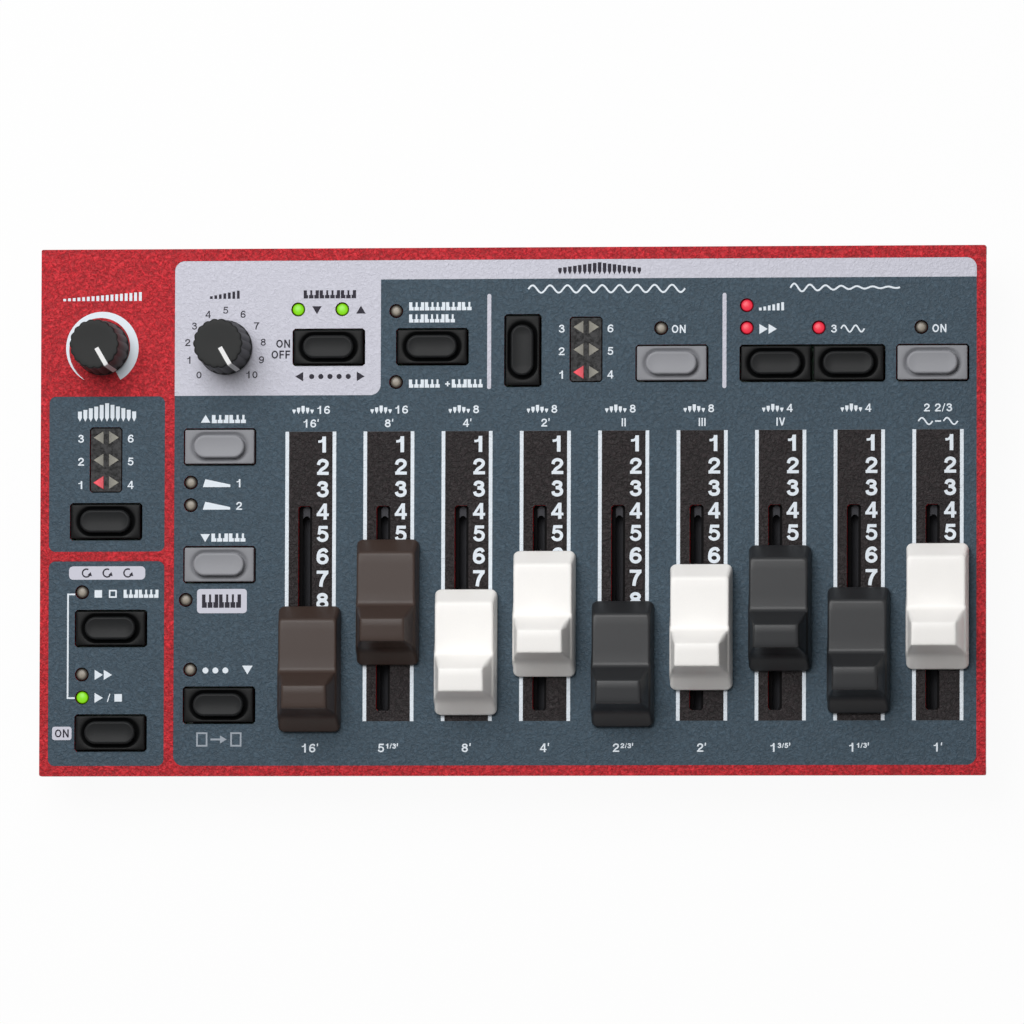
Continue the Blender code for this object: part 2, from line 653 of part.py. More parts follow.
def housing_mesh(tools):
    """A slide potentiometer's channel, with a long slot in its roof and a fixing lug at each end."""
    housing = box("housing_master", (HOUSING_WIDTH, HOUSING_LENGTH, HOUSING_HEIGHT),
                  (0.0, 0.0, HOUSING_HEIGHT / 2), tools)
    cavity_top = HOUSING_HEIGHT - HOUSING_ROOF
    cavity = box("housing_cavity", (CAVITY_WIDTH, CAVITY_LENGTH, cavity_top - HOUSING_FLOOR),
                 (0.0, 0.0, (cavity_top + HOUSING_FLOOR) / 2), tools)
    run = FADER_TRAVEL + LEVER_LENGTH + 2 * RUNNING_GAP
    roof_slot = flat_solid("housing_roof_slot", rounded_rectangle(LEVER_SLIT, run, LEVER_SLIT / 3, 1),
                           cavity_top - SOLDER_SINK, HOUSING_HEIGHT + SEAT_GAP, tools)
    lugs = box("housing_lugs",
               (HOUSING_LUG_WIDTH, HOUSING_LENGTH + 2 * HOUSING_LUG_LENGTH, HOUSING_LUG_THICKNESS),
               (0.0, 0.0, HOUSING_LUG_THICKNESS / 2), tools)
    combine(housing, lugs, "UNION")
    combine(housing, cavity, "DIFFERENCE")
    combine(housing, roof_slot, "DIFFERENCE")
    return settle(housing)


def lever_mesh(tools):
    """The carriage in the channel with the flat lever that stands on it."""
    low = HOUSING_BOTTOM + HOUSING_FLOOR + RUNNING_GAP - PANEL_TOP
    high = HOUSING_TOP - HOUSING_ROOF - RUNNING_GAP - PANEL_TOP
    carriage = box("lever_master", (CAVITY_WIDTH - 2 * RUNNING_GAP, CARRIAGE_LENGTH, high - low),
                   (0.0, 0.0, (low + high) / 2), tools)
    half = LEVER_LENGTH / 2
    tip = half - LEVER_TIP
    blade_low = high - SOLDER_SINK
    blade = loft(
        "lever_blade",
        [[(x, y, level) for x, y in rounded_rectangle(LEVER_THICKNESS, 2 * reach, LEVER_TIP / 4, 1)]
         for level, reach in ((blade_low, half), (LEVER_IN_CAP - 2 * LEVER_TIP, half), (LEVER_IN_CAP, tip))],
        tools,
    )
    combine(carriage, blade, "UNION")
    return settle(carriage)


def cap_section(from_rear, height, top_width):
    """One cross-section of a drawbar cap, looking along the slot."""
    base, rim = CAP_WIDTH / 2, CAP_LIFT + CAP_RIM
    top = top_width / 2
    y = CAP_LEVER_FROM_REAR - from_rear
    level = CAP_LIFT + height
    outline = ((-base, CAP_LIFT), (base, CAP_LIFT), (base, rim), (top, level), (-top, level), (-base, rim))
    return [(CAP_SIDE_OFFSET + x, y, z) for x, z in outline]


def cap_mesh(tools):
    """A drawbar cap: a low flat at the rear and a tall nose at the front, open underneath."""
    rim_width = CAP_WIDTH - 2 * CAP_RIM_EASE
    rim_height = CAP_RIM + CAP_RIM_EASE
    sections = [
        cap_section(0.0, rim_height, rim_width),
        cap_section(CAP_PLATEAU_START, CAP_PLATEAU_HEIGHT, CAP_PLATEAU_WIDTH),
        cap_section(CAP_PLATEAU_END, CAP_PLATEAU_HEIGHT, CAP_PLATEAU_WIDTH),
        cap_section(CAP_NOSE_START, CAP_NOSE_HEIGHT, CAP_NOSE_WIDTH),
        cap_section(CAP_NOSE_END, CAP_NOSE_HEIGHT - CAP_NOSE_FALL, CAP_NOSE_WIDTH),
        cap_section(CAP_LENGTH, rim_height, rim_width),
    ]
    cap = loft("cap_master", sections, tools)
    rounding = cap.modifiers.new("edges", "BEVEL")
    rounding.width = CAP_EDGE
    rounding.segments = 1
    rounding.limit_method = "ANGLE"
    rounding.angle_limit = math.radians(20)
    pocket_front = CAP_LEVER_FROM_REAR - LEVER_LENGTH / 2 - CAP_POCKET_WALL - SEAT_GAP
    pocket_rear = CAP_PLATEAU_START + CAP_POCKET_WALL
    pocket_top = CAP_LIFT + CAP_PLATEAU_HEIGHT - CAP_POCKET_WALL
    pocket = box(
        "cap_pocket",
        (CAP_PLATEAU_WIDTH - 2 * CAP_POCKET_WALL, pocket_front - pocket_rear, pocket_top),
        (CAP_SIDE_OFFSET, CAP_LEVER_FROM_REAR - (pocket_front + pocket_rear) / 2, pocket_top / 2),
        tools,
    )
    socket_top = LEVER_IN_CAP + SEAT_GAP
    socket = box("cap_socket", (LEVER_SLIT, LEVER_LENGTH + 2 * SEAT_GAP, socket_top),
                 (0.0, 0.0, socket_top / 2), tools)
    combine(cap, pocket, "DIFFERENCE")
    combine(cap, socket, "DIFFERENCE")
    return settle(cap)


def make_faders(parts, tools, joints):
    """Nine slide potentiometers, each with its housing, its lever and its drawbar cap."""
    housing, lever, cap = housing_mesh(tools), lever_mesh(tools), cap_mesh(tools)
    middle_y = lever_y(0.5)
    for index in range(FADER_COUNT):
        number = index + 1
        x = slot_x(index)
        place(f"fader_housing_{number}", housing, "steel", (x, middle_y, HOUSING_BOTTOM), parts)
        slide = joint_empty(f"fader_slide_{number}", (x, lever_y(CAP_DRAWN[index]), PANEL_TOP), joints)
        place(f"fader_lever_{number}", lever, "steel", (0.0, 0.0, 0.0), parts, slide)
        place(f"fader_cap_{number}", cap, CAP_COLOURS[index], (0.0, 0.0, 0.0), parts, slide)


def button_mesh(tools):
    """A button: a rimmed plate with a raised pill in its moat, and a flange under the panel."""
    low = -(PANEL_THICKNESS + SEAT_GAP + BUTTON_FLANGE)
    plate = rounded_rectangle(BUTTON_LENGTH, BUTTON_WIDTH, BUTTON_CORNER)
    rows = (
        (plate, low),
        (plate, BUTTON_PLATE_RISE),
        (oblong(BUTTON_LENGTH - 2 * BUTTON_RIM, BUTTON_WIDTH - 2 * BUTTON_RIM), BUTTON_PLATE_RISE),
        (oblong(PILL_LENGTH, PILL_WIDTH), BUTTON_PLATE_RISE - BUTTON_MOAT_DEPTH),
        (oblong(PILL_LENGTH - PILL_SHOULDER, PILL_WIDTH - PILL_SHOULDER), PILL_RISE - PILL_SHOULDER),
        (oblong(PILL_LENGTH - 3 * PILL_SHOULDER, PILL_WIDTH - 3 * PILL_SHOULDER), PILL_RISE),
    )
    rings = [[(x, y, level) for x, y in outline] for outline, level in rows]
    button = loft("button_master", rings, tools)
    flange = box(
        "button_flange",
        (BUTTON_LENGTH - 2 * BUTTON_FLANGE_INSET, OPENING_WIDTH + 2 * BUTTON_FLANGE_REACH, BUTTON_FLANGE),
        (0.0, 0.0, low + BUTTON_FLANGE / 2), tools,
    )
    stem_end = BOARD_TOP + PLUNGER_HEIGHT + BUTTON_TRAVEL + SEAT_GAP - PANEL_TOP
    stem = cylinder("button_stem", BUTTON_STEM_RADIUS, stem_end, low + SOLDER_SINK, (0.0, 0.0), tools, 8)
    combine(button, flange, "UNION")
    combine(button, stem, "UNION")
    return settle(button)


def make_buttons(parts, tools, joints):
    mesh = button_mesh(tools)
    for name, (x, y), colour, turns in button_places():
        travel = joint_empty(name + "_travel", (x, y, PANEL_TOP), joints)
        place(name, mesh, colour, (0.0, 0.0, 0.0), parts, travel, turns * math.pi / 2)


def fluted_ring(radius, level):
    """A ring whose radius dips at each finger flute."""
    count = KNOB_FLUTES * KNOB_POINTS_PER_FLUTE
    ring = []
    for index in range(count):
        angle = 2 * math.pi * index / count
        dip = KNOB_FLUTE_DEPTH * abs(math.cos(KNOB_FLUTES * angle / 2)) ** 2
        ring.append(((radius - dip) * math.cos(angle), (radius - dip) * math.sin(angle), level))
    return ring


def round_ring(radius, level):
    return [(x, y, level) for x, y in circle(radius, KNOB_FLUTES * KNOB_POINTS_PER_FLUTE)]


def knob_mesh(tools):
    """A fluted knob with a skirt, a pointer groove across its top and a bore for the shaft."""
    shoulder = KNOB_HEIGHT - KNOB_TOP_ROUND
    knob = loft(
        "knob_master",
        [round_ring(KNOB_BASE_RADIUS, KNOB_LIFT), round_ring(KNOB_BASE_RADIUS, KNOB_SKIRT),
         fluted_ring(KNOB_BASE_RADIUS - KNOB_SKIRT_STEP, KNOB_SKIRT + KNOB_FLUTE_DEPTH),
         fluted_ring(KNOB_TOP_RADIUS, shoulder),
         fluted_ring(KNOB_TOP_RADIUS - KNOB_TOP_ROUND, KNOB_HEIGHT)],
        tools,
    )
    bore_top = KNOB_HEIGHT - KNOB_ROOF
    bore = flat_solid("knob_bore", d_outline(SHAFT_RADIUS + SEAT_GAP, SHAFT_FLAT),
                      0.0, bore_top, tools)
    recess = cylinder("knob_recess", BUSHING_RADIUS + 2 * SEAT_GAP, 0.0,
                      BUSHING_RISE + SEAT_GAP + KNOB_LIFT, (0.0, 0.0), tools, 20)
    reach = KNOB_BASE_RADIUS - POINTER_START
    groove = box("pointer_groove", (POINTER_WIDTH, reach, 2 * POINTER_DEPTH),
                 (0.0, POINTER_START + reach / 2, KNOB_HEIGHT), tools)
    combine(knob, bore, "DIFFERENCE")
    combine(knob, recess, "DIFFERENCE")
    combine(knob, groove, "DIFFERENCE")
    return settle(knob)


def shaft_mesh(tools):
    """The potentiometer's shaft, with the flat that the knob is pressed on."""
    low = BOARD_TOP + SEAT_GAP + POT_FLOOR + SEAT_GAP - PANEL_TOP
    shaft = flat_solid("shaft_master", d_outline(SHAFT_RADIUS, SHAFT_FLAT),
                       low, KNOB_HEIGHT - KNOB_ROOF - SEAT_GAP, tools)
    return settle(shaft)


def pot_mesh(tools):
    """A rotary potentiometer's housing with the bushing that stands through the panel."""
    pot = box("pot_master", (POT_LENGTH, POT_DEPTH, POT_HEIGHT), (0.0, 0.0, POT_HEIGHT / 2), tools)
    bushing_top = PANEL_TOP + BUSHING_RISE - BOARD_TOP - SEAT_GAP
    bushing = cylinder("pot_bushing", BUSHING_RADIUS, POT_HEIGHT - SOLDER_SINK, bushing_top,
                       (0.0, 0.0), tools, 20)
    bore = cylinder("pot_bore", SHAFT_RADIUS + SEAT_GAP, POT_FLOOR, bushing_top + SEAT_GAP,
                    (0.0, 0.0), tools, 20)
    combine(pot, bushing, "UNION")
    combine(pot, bore, "DIFFERENCE")
    return settle(pot)


def make_knobs(parts, tools, joints):
    knob, shaft, pot = knob_mesh(tools), shaft_mesh(tools), pot_mesh(tools)
    turn = math.radians(KNOB_AT_REST_DEG)
    for name, at in zip(("master_level", "organ_level"), KNOB_SPOTS):
        x, y = spot(*at)
        place(name + "_pot_housing", pot, "steel", (x, y, BOARD_TOP + SEAT_GAP), parts)
        axis = joint_empty(name + "_turn", (x, y, PANEL_TOP), joints)
        place(name + "_shaft", shaft, "steel", (0.0, 0.0, 0.0), parts, axis, turn)
        place(name + "_knob", knob, "black", (0.0, 0.0, 0.0), parts, axis, turn)


def arrow_outline(column, row):
    """A triangle that points outwards from the window's middle line."""
    tip = column * (ARROW_COLUMN + ARROW_WIDTH / 2)
    foot = column * (ARROW_COLUMN - ARROW_WIDTH / 2)
    y = row * ARROW_PITCH
    return [(tip, y), (foot, y + ARROW_HEIGHT / 2), (foot, y - ARROW_HEIGHT / 2)]


def window_mesh(tools):
    """A selector window: a block on the board with six arrow wells in its face."""
    low = BOARD_TOP + SEAT_GAP - PANEL_TOP
    top = -WINDOW_BELOW_TOP
    window = flat_solid("window_master", rounded_rectangle(WINDOW_WIDTH, WINDOW_LENGTH, WINDOW_CORNER, 1),
                        low, top, tools)
    flange_top = -(PANEL_THICKNESS + SEAT_GAP)
    flange = box(
        "window_flange",
        (WINDOW_WIDTH + 2 * WINDOW_FLANGE_REACH, WINDOW_LENGTH + 2 * WINDOW_FLANGE_REACH, WINDOW_FLANGE),
        (0.0, 0.0, flange_top - WINDOW_FLANGE / 2), tools,
    )
    wells = [
        flat_solid("arrow_well", arrow_outline(column, row), top - ARROW_DEPTH, SEAT_GAP, tools)
        for column in (-1, 1) for row in (-1, 0, 1)
    ]
    combine(window, flange, "UNION")
    combine(window, gather("arrow_wells", wells, tools), "DIFFERENCE")
    return settle(window)


def make_windows(parts, tools):
    mesh = window_mesh(tools)
    for name, at in zip(("model_window", "vibrato_window"), WINDOW_SPOTS):
        place(name, mesh, "smoked", (*spot(*at), PANEL_TOP), parts)


def make_screws(parts, tools):
    """The socket screws that come up through the tray and the board into the panel's bosses."""
    tip = BOARD_TOP + SEAT_GAP + SCREW_GRIP
    under_head = SCREW_HEAD_SUNK + SCREW_HEAD_HEIGHT
    profile = (
        (0.0, tip), (SCREW_RADIUS / 2, tip), (SCREW_RADIUS, tip - SCREW_RADIUS),
        (SCREW_RADIUS, under_head), (SCREW_HEAD_RADIUS, under_head),
        (SCREW_HEAD_RADIUS, SCREW_HEAD_SUNK + SCREW_HEAD_HEIGHT / 3),
        (SCREW_HEAD_FACE_SHARE * SCREW_HEAD_RADIUS, SCREW_HEAD_SUNK), (0.0, SCREW_HEAD_SUNK),
    )
    screw = turned("screw_master", profile, (0.0, 0.0), tools, 10)
    drive = cylinder("screw_drive", SCREW_DRIVE_WIDTH / 2, SCREW_HEAD_SUNK - SEAT_GAP,
                     SCREW_HEAD_SUNK + SCREW_DRIVE_DEPTH, (0.0, 0.0), tools, 6)
    combine(screw, drive, "DIFFERENCE")
    mesh = settle(screw)
    for number, (x, y) in enumerate(screw_places(), 1):
        place(f"cover_screw_{number}", mesh, "steel", (x, y, 0.0), parts)


def make_connector(parts, tools):
    """The flat cable's connector on the board's underside, facing the slot in the tray."""
    top = BOARD_BOTTOM - SEAT_GAP
    rear = board_size()[1] / 2 - CONNECTOR_FROM_EDGE
    x = CONNECTOR_SHARE * PANEL_LENGTH
    middle = (x, rear - CONNECTOR_DEPTH / 2, top - CONNECTOR_HEIGHT / 2)
    connector = box("cable_connector", (CONNECTOR_LENGTH, CONNECTOR_DEPTH, CONNECTOR_HEIGHT), middle, parts)
    mouth = box(
        "connector_mouth",
        (CONNECTOR_MOUTH_LENGTH, 2 * CONNECTOR_MOUTH_DEPTH, CONNECTOR_MOUTH_HEIGHT),
        (x, rear, top - CONNECTOR_HEIGHT / 2), tools,
    )
    combine(connector, mouth, "DIFFERENCE")
    connector.data.materials.append(finish_of("cream"))


def shade_large_pieces():
    for name in ("front_panel", "bottom_cover", "circuit_board"):
        mesh = bpy.data.objects[name].data
        mesh.shade_smooth()
        mesh.set_sharp_from_angle(angle=math.radians(35))


def main():
    clear_scene()
    parts = make_collection("organ_control_panel")
    tools = make_collection("cutters_and_guides")
    joints = make_collection("joint_axes")
    make_front_panel(parts, tools)
    make_bottom_cover(parts, tools)
    make_circuit_board(parts, tools)
    make_dust_sheet(parts, tools)
    make_faders(parts, tools, joints)
    make_buttons(parts, tools, joints)
    make_knobs(parts, tools, joints)
    make_windows(parts, tools)
    make_screws(parts, tools)
    make_connector(parts, tools)
    shade_large_pieces()
    bpy.context.view_layer.update()


main()
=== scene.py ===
"""Looks of the organ section of a stage keyboard's control panel: the printed plate with its
grained paint, the drawbar caps, push buttons, level knobs, lamps and selector windows, and the
stage that shows them."""

import math
from functools import partialmethod

import bmesh
import bpy
from bpy.props import FloatProperty, FloatVectorProperty, IntProperty, PointerProperty
from mathutils import Matrix, Vector


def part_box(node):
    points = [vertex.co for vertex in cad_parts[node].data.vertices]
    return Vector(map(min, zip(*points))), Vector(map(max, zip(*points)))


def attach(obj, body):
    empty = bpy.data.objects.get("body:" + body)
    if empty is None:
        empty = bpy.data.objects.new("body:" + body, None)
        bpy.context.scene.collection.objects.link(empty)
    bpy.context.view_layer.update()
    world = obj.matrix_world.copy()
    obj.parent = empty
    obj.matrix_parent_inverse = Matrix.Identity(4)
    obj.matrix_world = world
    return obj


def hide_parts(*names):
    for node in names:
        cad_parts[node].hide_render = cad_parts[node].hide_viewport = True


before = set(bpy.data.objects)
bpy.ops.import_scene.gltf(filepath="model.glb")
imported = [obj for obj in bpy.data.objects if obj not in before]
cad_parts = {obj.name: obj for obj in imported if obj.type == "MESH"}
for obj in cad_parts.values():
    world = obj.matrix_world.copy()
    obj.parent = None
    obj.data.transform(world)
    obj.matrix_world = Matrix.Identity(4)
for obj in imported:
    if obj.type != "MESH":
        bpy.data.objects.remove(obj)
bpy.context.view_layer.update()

bl_info = {
    "name": "Organ Control Panel",
    "version": (1, 0, 0),
    "blender": (4, 5, 0),
    "location": "3D View > Sidebar > Organ Panel",
    "description": "Finishes and fine shapes for an organ control panel with drawbars and buttons",
    "category": "Add Mesh",
}

MM = 0.001
PLATE_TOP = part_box("front_panel")[1][2]
CHASSIS = "chassis"
LEVELS = ("master_level", "organ_level")
WINDOWS = ("model_window", "vibrato_window")
FADER_COUNT = 9
SCREW_COUNT = 6
CAP_SLOTS = ("brown", "brown", "white", "white", "black", "white", "black", "black", "white")

# Printed films stand this far above the plate and reach this far into it
INK_RISE = 0.03 * MM
INK_SINK = 0.02 * MM

# What is printed on the plate is in millimetres from its middle.
# Scales beside the fader slots, from the middle of the first one
FIRST_SCALE_X = -48.24
SCALE_PITCH = 18.78
SCALE_REAR = 19.2
SCALE_FRONT = -50.1
SCALE_HALF = 5.23
SIDE_LINE_WIDTH = 0.88
# Coloured fields as (left, front, right, rear) and the radius of their corners
SLATE_FIELDS = (
    ((-81.1, -60.7, 111.2, 60.2), 2.4), ((-111.3, -9.4, -83.4, 27.8), 1.6),
    ((-111.3, -60.7, -83.4, -11.7), 1.6),
)
PALE_BLOCK = ((-95.0, 27.9, -31.5, 70.0), 2.5)
PALE_BAND_FRONT = 55.6
# Light bars between the upper groups
DIVIDER_XS = (-5.45, 50.95)
DIVIDER_REAR = 52.0
DIVIDER_FRONT = 29.2
DIVIDER_HALF = 0.475
# Height of most letters and signs
LETTER = 1.95


def srgb(red, green, blue):
    """Linear values of a colour given in 0 to 255, as a picture shows it."""
    def linear(value):
        share = value / 255
        return share / 12.92 if share <= 0.04045 else ((share + 0.055) / 1.055) ** 2.4
    return linear(red), linear(green), linear(blue)


def colour_property(name, description, *shown):
    """A colour setting, given in 0 to 255 as a picture shows it."""
    return FloatVectorProperty(
        name=name, description=description, default=srgb(*shown), subtype="COLOR", size=3, min=0, max=1
    )


def length_property(name, description, default, least=0.0):
    return FloatProperty(name=name, description=description, default=default, unit="LENGTH", min=least)


def angle_property(name, description, degrees):
    return FloatProperty(
        name=name, description=description, default=math.radians(degrees), subtype="ANGLE"
    )


def strength_property(name, description, default):
    return FloatProperty(name=name, description=description, default=default, min=0)


class PlateSettings(bpy.types.PropertyGroup):
    red: colour_property("Red", "Paint of the plate", 193, 45, 53)
    slate: colour_property("Slate", "Printed grey-blue fields", 64, 80, 92)
    pale: colour_property("Pale", "Printed light fields and bars", 206, 206, 218)
    strip: colour_property("Strip", "Printed strips under the fader scales", 36, 31, 32)
    white_ink: colour_property("White ink", "Light lettering and lines", 228, 236, 244)
    dark_ink: colour_property("Dark ink", "Lettering on the light fields", 40, 37, 48)
    dim_ink: colour_property("Dim ink", "Greyed signs of second functions", 158, 166, 176)
    grain: length_property("Grain", "Width of one grain of the paint", 0.75 * MM)
    grain_depth: length_property("Grain depth", "Height of the paint's grain", 0.60 * MM)


class CapSettings(bpy.types.PropertyGroup):
    brown: colour_property("Brown", "Plastic of the brown caps", 62, 50, 45)
    white: colour_property("White", "Plastic of the white caps", 249, 247, 244)
    black: colour_property("Black", "Plastic of the black caps", 38, 39, 41)
    edge: length_property("Edge", "Rounding of the caps' edges", 0.25 * MM)


class ButtonSettings(bpy.types.PropertyGroup):
    black: colour_property("Black", "Plastic of the black buttons", 30, 31, 32)
    grey: colour_property("Grey", "Plastic of the grey buttons", 146, 147, 152)
    rise: length_property("Rise", "Height of the pill over the plate", 2.4 * MM)
    moat: length_property("Moat", "Depth of the moat round the pill", 0.7 * MM)


class KnobSettings(bpy.types.PropertyGroup):
    body: colour_property("Body", "Soft plastic of the knobs", 33, 34, 34)
    pointer: colour_property("Pointer", "Line on the knobs", 226, 226, 226)
    flutes: IntProperty(name="Flutes", description="Finger flutes round a knob", default=18, min=3)
    flute_depth: length_property("Flute depth", "Depth of the finger flutes", 0.3 * MM)


class LampSettings(bpy.types.PropertyGroup):
    green: colour_property("Green", "Lamps that are lit green", 136, 226, 0)
    red: colour_property("Red", "Lamps and arrows that are lit red", 240, 40, 66)
    unlit: colour_property("Unlit", "Lamps that are off", 142, 134, 122)
    arrow: colour_property("Arrow", "Arrows that are off", 150, 146, 132)
    glow: strength_property("Glow", "Light that a lit lamp gives", 0.75)


class StageSettings(bpy.types.PropertyGroup):
    distance: length_property("Camera distance", "From the camera to the plate", 3.3)
    frame_width: length_property("Frame width", "What the camera sees at the plate", 244.3 * MM)
    tilt_right: angle_property("Tilt right", "Camera's lean to the player's right", 6.0)
    tilt_front: angle_property("Tilt front", "Camera's lean towards the player", 3.45)
    roll: angle_property("Roll", "Camera's turn about its own axis", 0.17)
    aim_right: length_property("Aim right", "View's middle, right of the plate's", 0.15 * MM, -1.0)
    aim_rear: length_property("Aim rear", "View's middle, behind the plate's", -0.2 * MM, -1.0)
    key: strength_property("Key", "Power of the rear light", 5.0)
    overhead: strength_property("Overhead", "Power of the light above", 2.5)
    sky: strength_property("Sky", "Strength of the surroundings", 0.14)


class Value:
    """One output of a node, for use in arithmetic."""

    def __init__(self, nodes, socket):
        self.nodes = nodes
        self.socket = socket

    def worked(self, operation, *others):
        return self.nodes.math(operation, self, *others)

    __add__ = __radd__ = partialmethod(worked, "ADD")
    __sub__ = partialmethod(worked, "SUBTRACT")
    __mul__ = __rmul__ = partialmethod(worked, "MULTIPLY")
    __truediv__ = partialmethod(worked, "DIVIDE")
    __abs__ = partialmethod(worked, "ABSOLUTE")
    root = partialmethod(worked, "SQRT")
    lowest = partialmethod(worked, "MINIMUM")
    highest = partialmethod(worked, "MAXIMUM")

    def __rsub__(self, other):
        return self.nodes.math("SUBTRACT", other, self)

    def clamped(self):
        return self.highest(0.0).lowest(1.0)


class Nodes:
    """A node tree, empty at first, whose nodes are joined through values."""

    def __init__(self, tree):
        self.tree = tree
        tree.nodes.clear()

    def node(self, kind, settings=None, inputs=None, output=0):
        """A node with its settings first, then its inputs by name or number."""
        made = self.tree.nodes.new(kind)
        for key, value in (settings or {}).items():
            setattr(made, key, value)
        for key, value in (inputs or {}).items():
            if isinstance(value, Value):
                self.tree.links.new(value.socket, made.inputs[key])
            else:
                made.inputs[key].default_value = value
        return Value(self, made.outputs[output]) if made.outputs else None

    def math(self, operation, *values):
        return self.node("ShaderNodeMath", {"operation": operation}, dict(enumerate(values)))

    def parts(self, vector):
        """The three parts of a vector."""
        return [self.node("ShaderNodeSeparateXYZ", None, {0: vector}, axis) for axis in range(3)]

    def shown(self):
        """1 for rays by which the camera sees a surface, straight, in gloss or through glass."""
        straight, gloss, glass = (
            self.node("ShaderNodeLightPath", output=f"Is {kind} Ray")
            for kind in ("Camera", "Glossy", "Transmission")
        )
        return straight.highest(gloss).highest(glass)


class Finish(Nodes):
    """A material whose noise lies in the object's own space."""

    def __init__(self, name):
        self.material = bpy.data.materials.new(name)
        self.material.use_nodes = True
        super().__init__(self.material.node_tree)

    def place(self):
        return self.node("ShaderNodeTexCoord", output="Object")

    def noise(self, size, detail=2.0, roughness=0.5, stretch=None, swirl=0.0):
        """Noise whose patches are about that wide, drawn out along an axis if asked."""
        place = self.place()
        if stretch is not None:
            place = self.node("ShaderNodeVectorMath", {"operation": "MULTIPLY"}, {0: place, 1: stretch})
        inputs = {"Vector": place, "Scale": 1.0 / size, "Detail": detail}
        return self.node(
            "ShaderNodeTexNoise", None, {**inputs, "Roughness": roughness, "Distortion": swirl}, "Fac"
        )

    def mix(self, share, first, second, blend="MIX"):
        """A colour between two, by a share from 0 to 1."""
        inputs = {0: share}
        for key, colour in ((6, first), (7, second)):
            inputs[key] = colour if isinstance(colour, Value) else (*tuple(colour)[:3], 1.0)
        return self.node("ShaderNodeMix", {"data_type": "RGBA", "blend_type": blend}, inputs, 2)

    def brightened(self, colour, share):
        """A colour multiplied by a varying grey."""
        grey = self.node("ShaderNodeCombineColor", None, {0: share, 1: share, 2: share})
        return self.mix(1.0, colour, grey, "MULTIPLY")

    def bump(self, height, depth, strength):
        inputs = {"Height": height, "Distance": depth, "Strength": strength}
        return self.node("ShaderNodeBump", None, inputs, "Normal")

    def done(self, **sockets):
        """Joins a Principled shader with these sockets to the output and gives the material."""
        inputs = {key.replace("_", " "): value for key, value in sockets.items()}
        surface = self.node("ShaderNodeBsdfPrincipled", None, inputs)
        self.node("ShaderNodeOutputMaterial", None, {"Surface": surface})
        return self.material


def printed(distance, edge=0.05 * MM):
    """A mask that is 1 inside a printed shape and fades over a thin edge."""
    return (0.5 - distance / edge).clamped()


def printed_field(x, y, corners, radius):
    """The mask of a field with round corners, from its left, front, right, rear and radius."""
    left, front, right, rear, radius = (length * MM for length in (*corners, radius))
    over_x = abs(x - (left + right) / 2) - ((right - left) / 2 - radius)
    over_y = abs(y - (front + rear) / 2) - ((rear - front) / 2 - radius)
    past_x, past_y = over_x.highest(0.0), over_y.highest(0.0)
    outside = (past_x * past_x + past_y * past_y).root()
    return printed(outside + over_x.highest(over_y).lowest(0.0) - radius)


def plate_paint(settings):
    """Red powder coat with the printed fields, strips and bars on its top face."""
    finish = Finish("plate_paint")
    x, y, z = finish.parts(finish.place())
    on_top = ((z - (PLATE_TOP - 0.03 * MM)) / (0.01 * MM)).clamped()
    main_field, *others = (printed_field(x, y, *field) for field in SLATE_FIELDS)
    slate = main_field
    for mask in others:
        slate = slate.highest(mask)
    band = printed(PALE_BAND_FRONT * MM - y)
    pale = main_field * band.highest(printed_field(x, y, *PALE_BLOCK))
    for bar in DIVIDER_XS:
        corners = (bar - DIVIDER_HALF, DIVIDER_FRONT, bar + DIVIDER_HALF, DIVIDER_REAR)
        pale = pale.highest(printed_field(x, y, corners, DIVIDER_HALF))
    left = FIRST_SCALE_X - SCALE_PITCH / 2
    right = left + FADER_COUNT * SCALE_PITCH
    scales = printed_field(x, y, (left, SCALE_FRONT, right, SCALE_REAR), 0.0)
    start = (FIRST_SCALE_X - SCALE_PITCH) * MM
    across = finish.math("PINGPONG", x - start, SCALE_PITCH / 2 * MM)
    strip = scales * printed(across - SCALE_HALF * MM)
    lines = scales * printed(across - (SCALE_HALF + SIDE_LINE_WIDTH) * MM) * (1.0 - strip)

    cells = finish.noise(settings.grain, 2.0, 0.55, swirl=0.6)
    creases = abs(finish.noise(1.4 * settings.grain, 1.0, swirl=0.8) - 0.5) * 2.0
    grain = 0.75 * cells + 0.45 * creases
    # Speckle: the grain's own tone together with painted light and shade of the grain's relief, put into the
    # colour of paint, fields and strips.
    grain_tone_and_shade = (0.5 + 3.0 * (grain - 0.5)).clamped()
    mottle = finish.noise(26 * MM)
    colour = finish.brightened(settings.red, 0.50 + 0.86 * grain_tone_and_shade + 0.12 * mottle)
    for mask, tone, share in (
        (slate, settings.slate, 0.70 + 0.48 * grain_tone_and_shade + 0.14 * mottle),
        (pale, settings.pale, 0.94 + 0.11 * grain_tone_and_shade),
        (strip, settings.strip, 0.45 + 1.20 * grain_tone_and_shade),
    ):
        colour = finish.mix(mask * on_top, colour, finish.brightened(tone, share))
    filled = (slate + pale).clamped() * (1.0 - strip) * on_top
    relief = grain * (1.0 - 0.35 * filled)
    return finish.done(
        Base_Color=finish.mix(lines * on_top, colour, settings.white_ink),
        Roughness=0.40 + 0.12 * grain, Specular_IOR_Level=0.14,
        Normal=finish.bump(relief, settings.grain_depth, 0.8),
    )


# Height over the plate at which the painted shade of a button's low places starts to fade, and the height
# that the fade takes
SHADE_FADES_FROM = 1.1 * MM
SHADE_FADES_OVER = 0.7 * MM


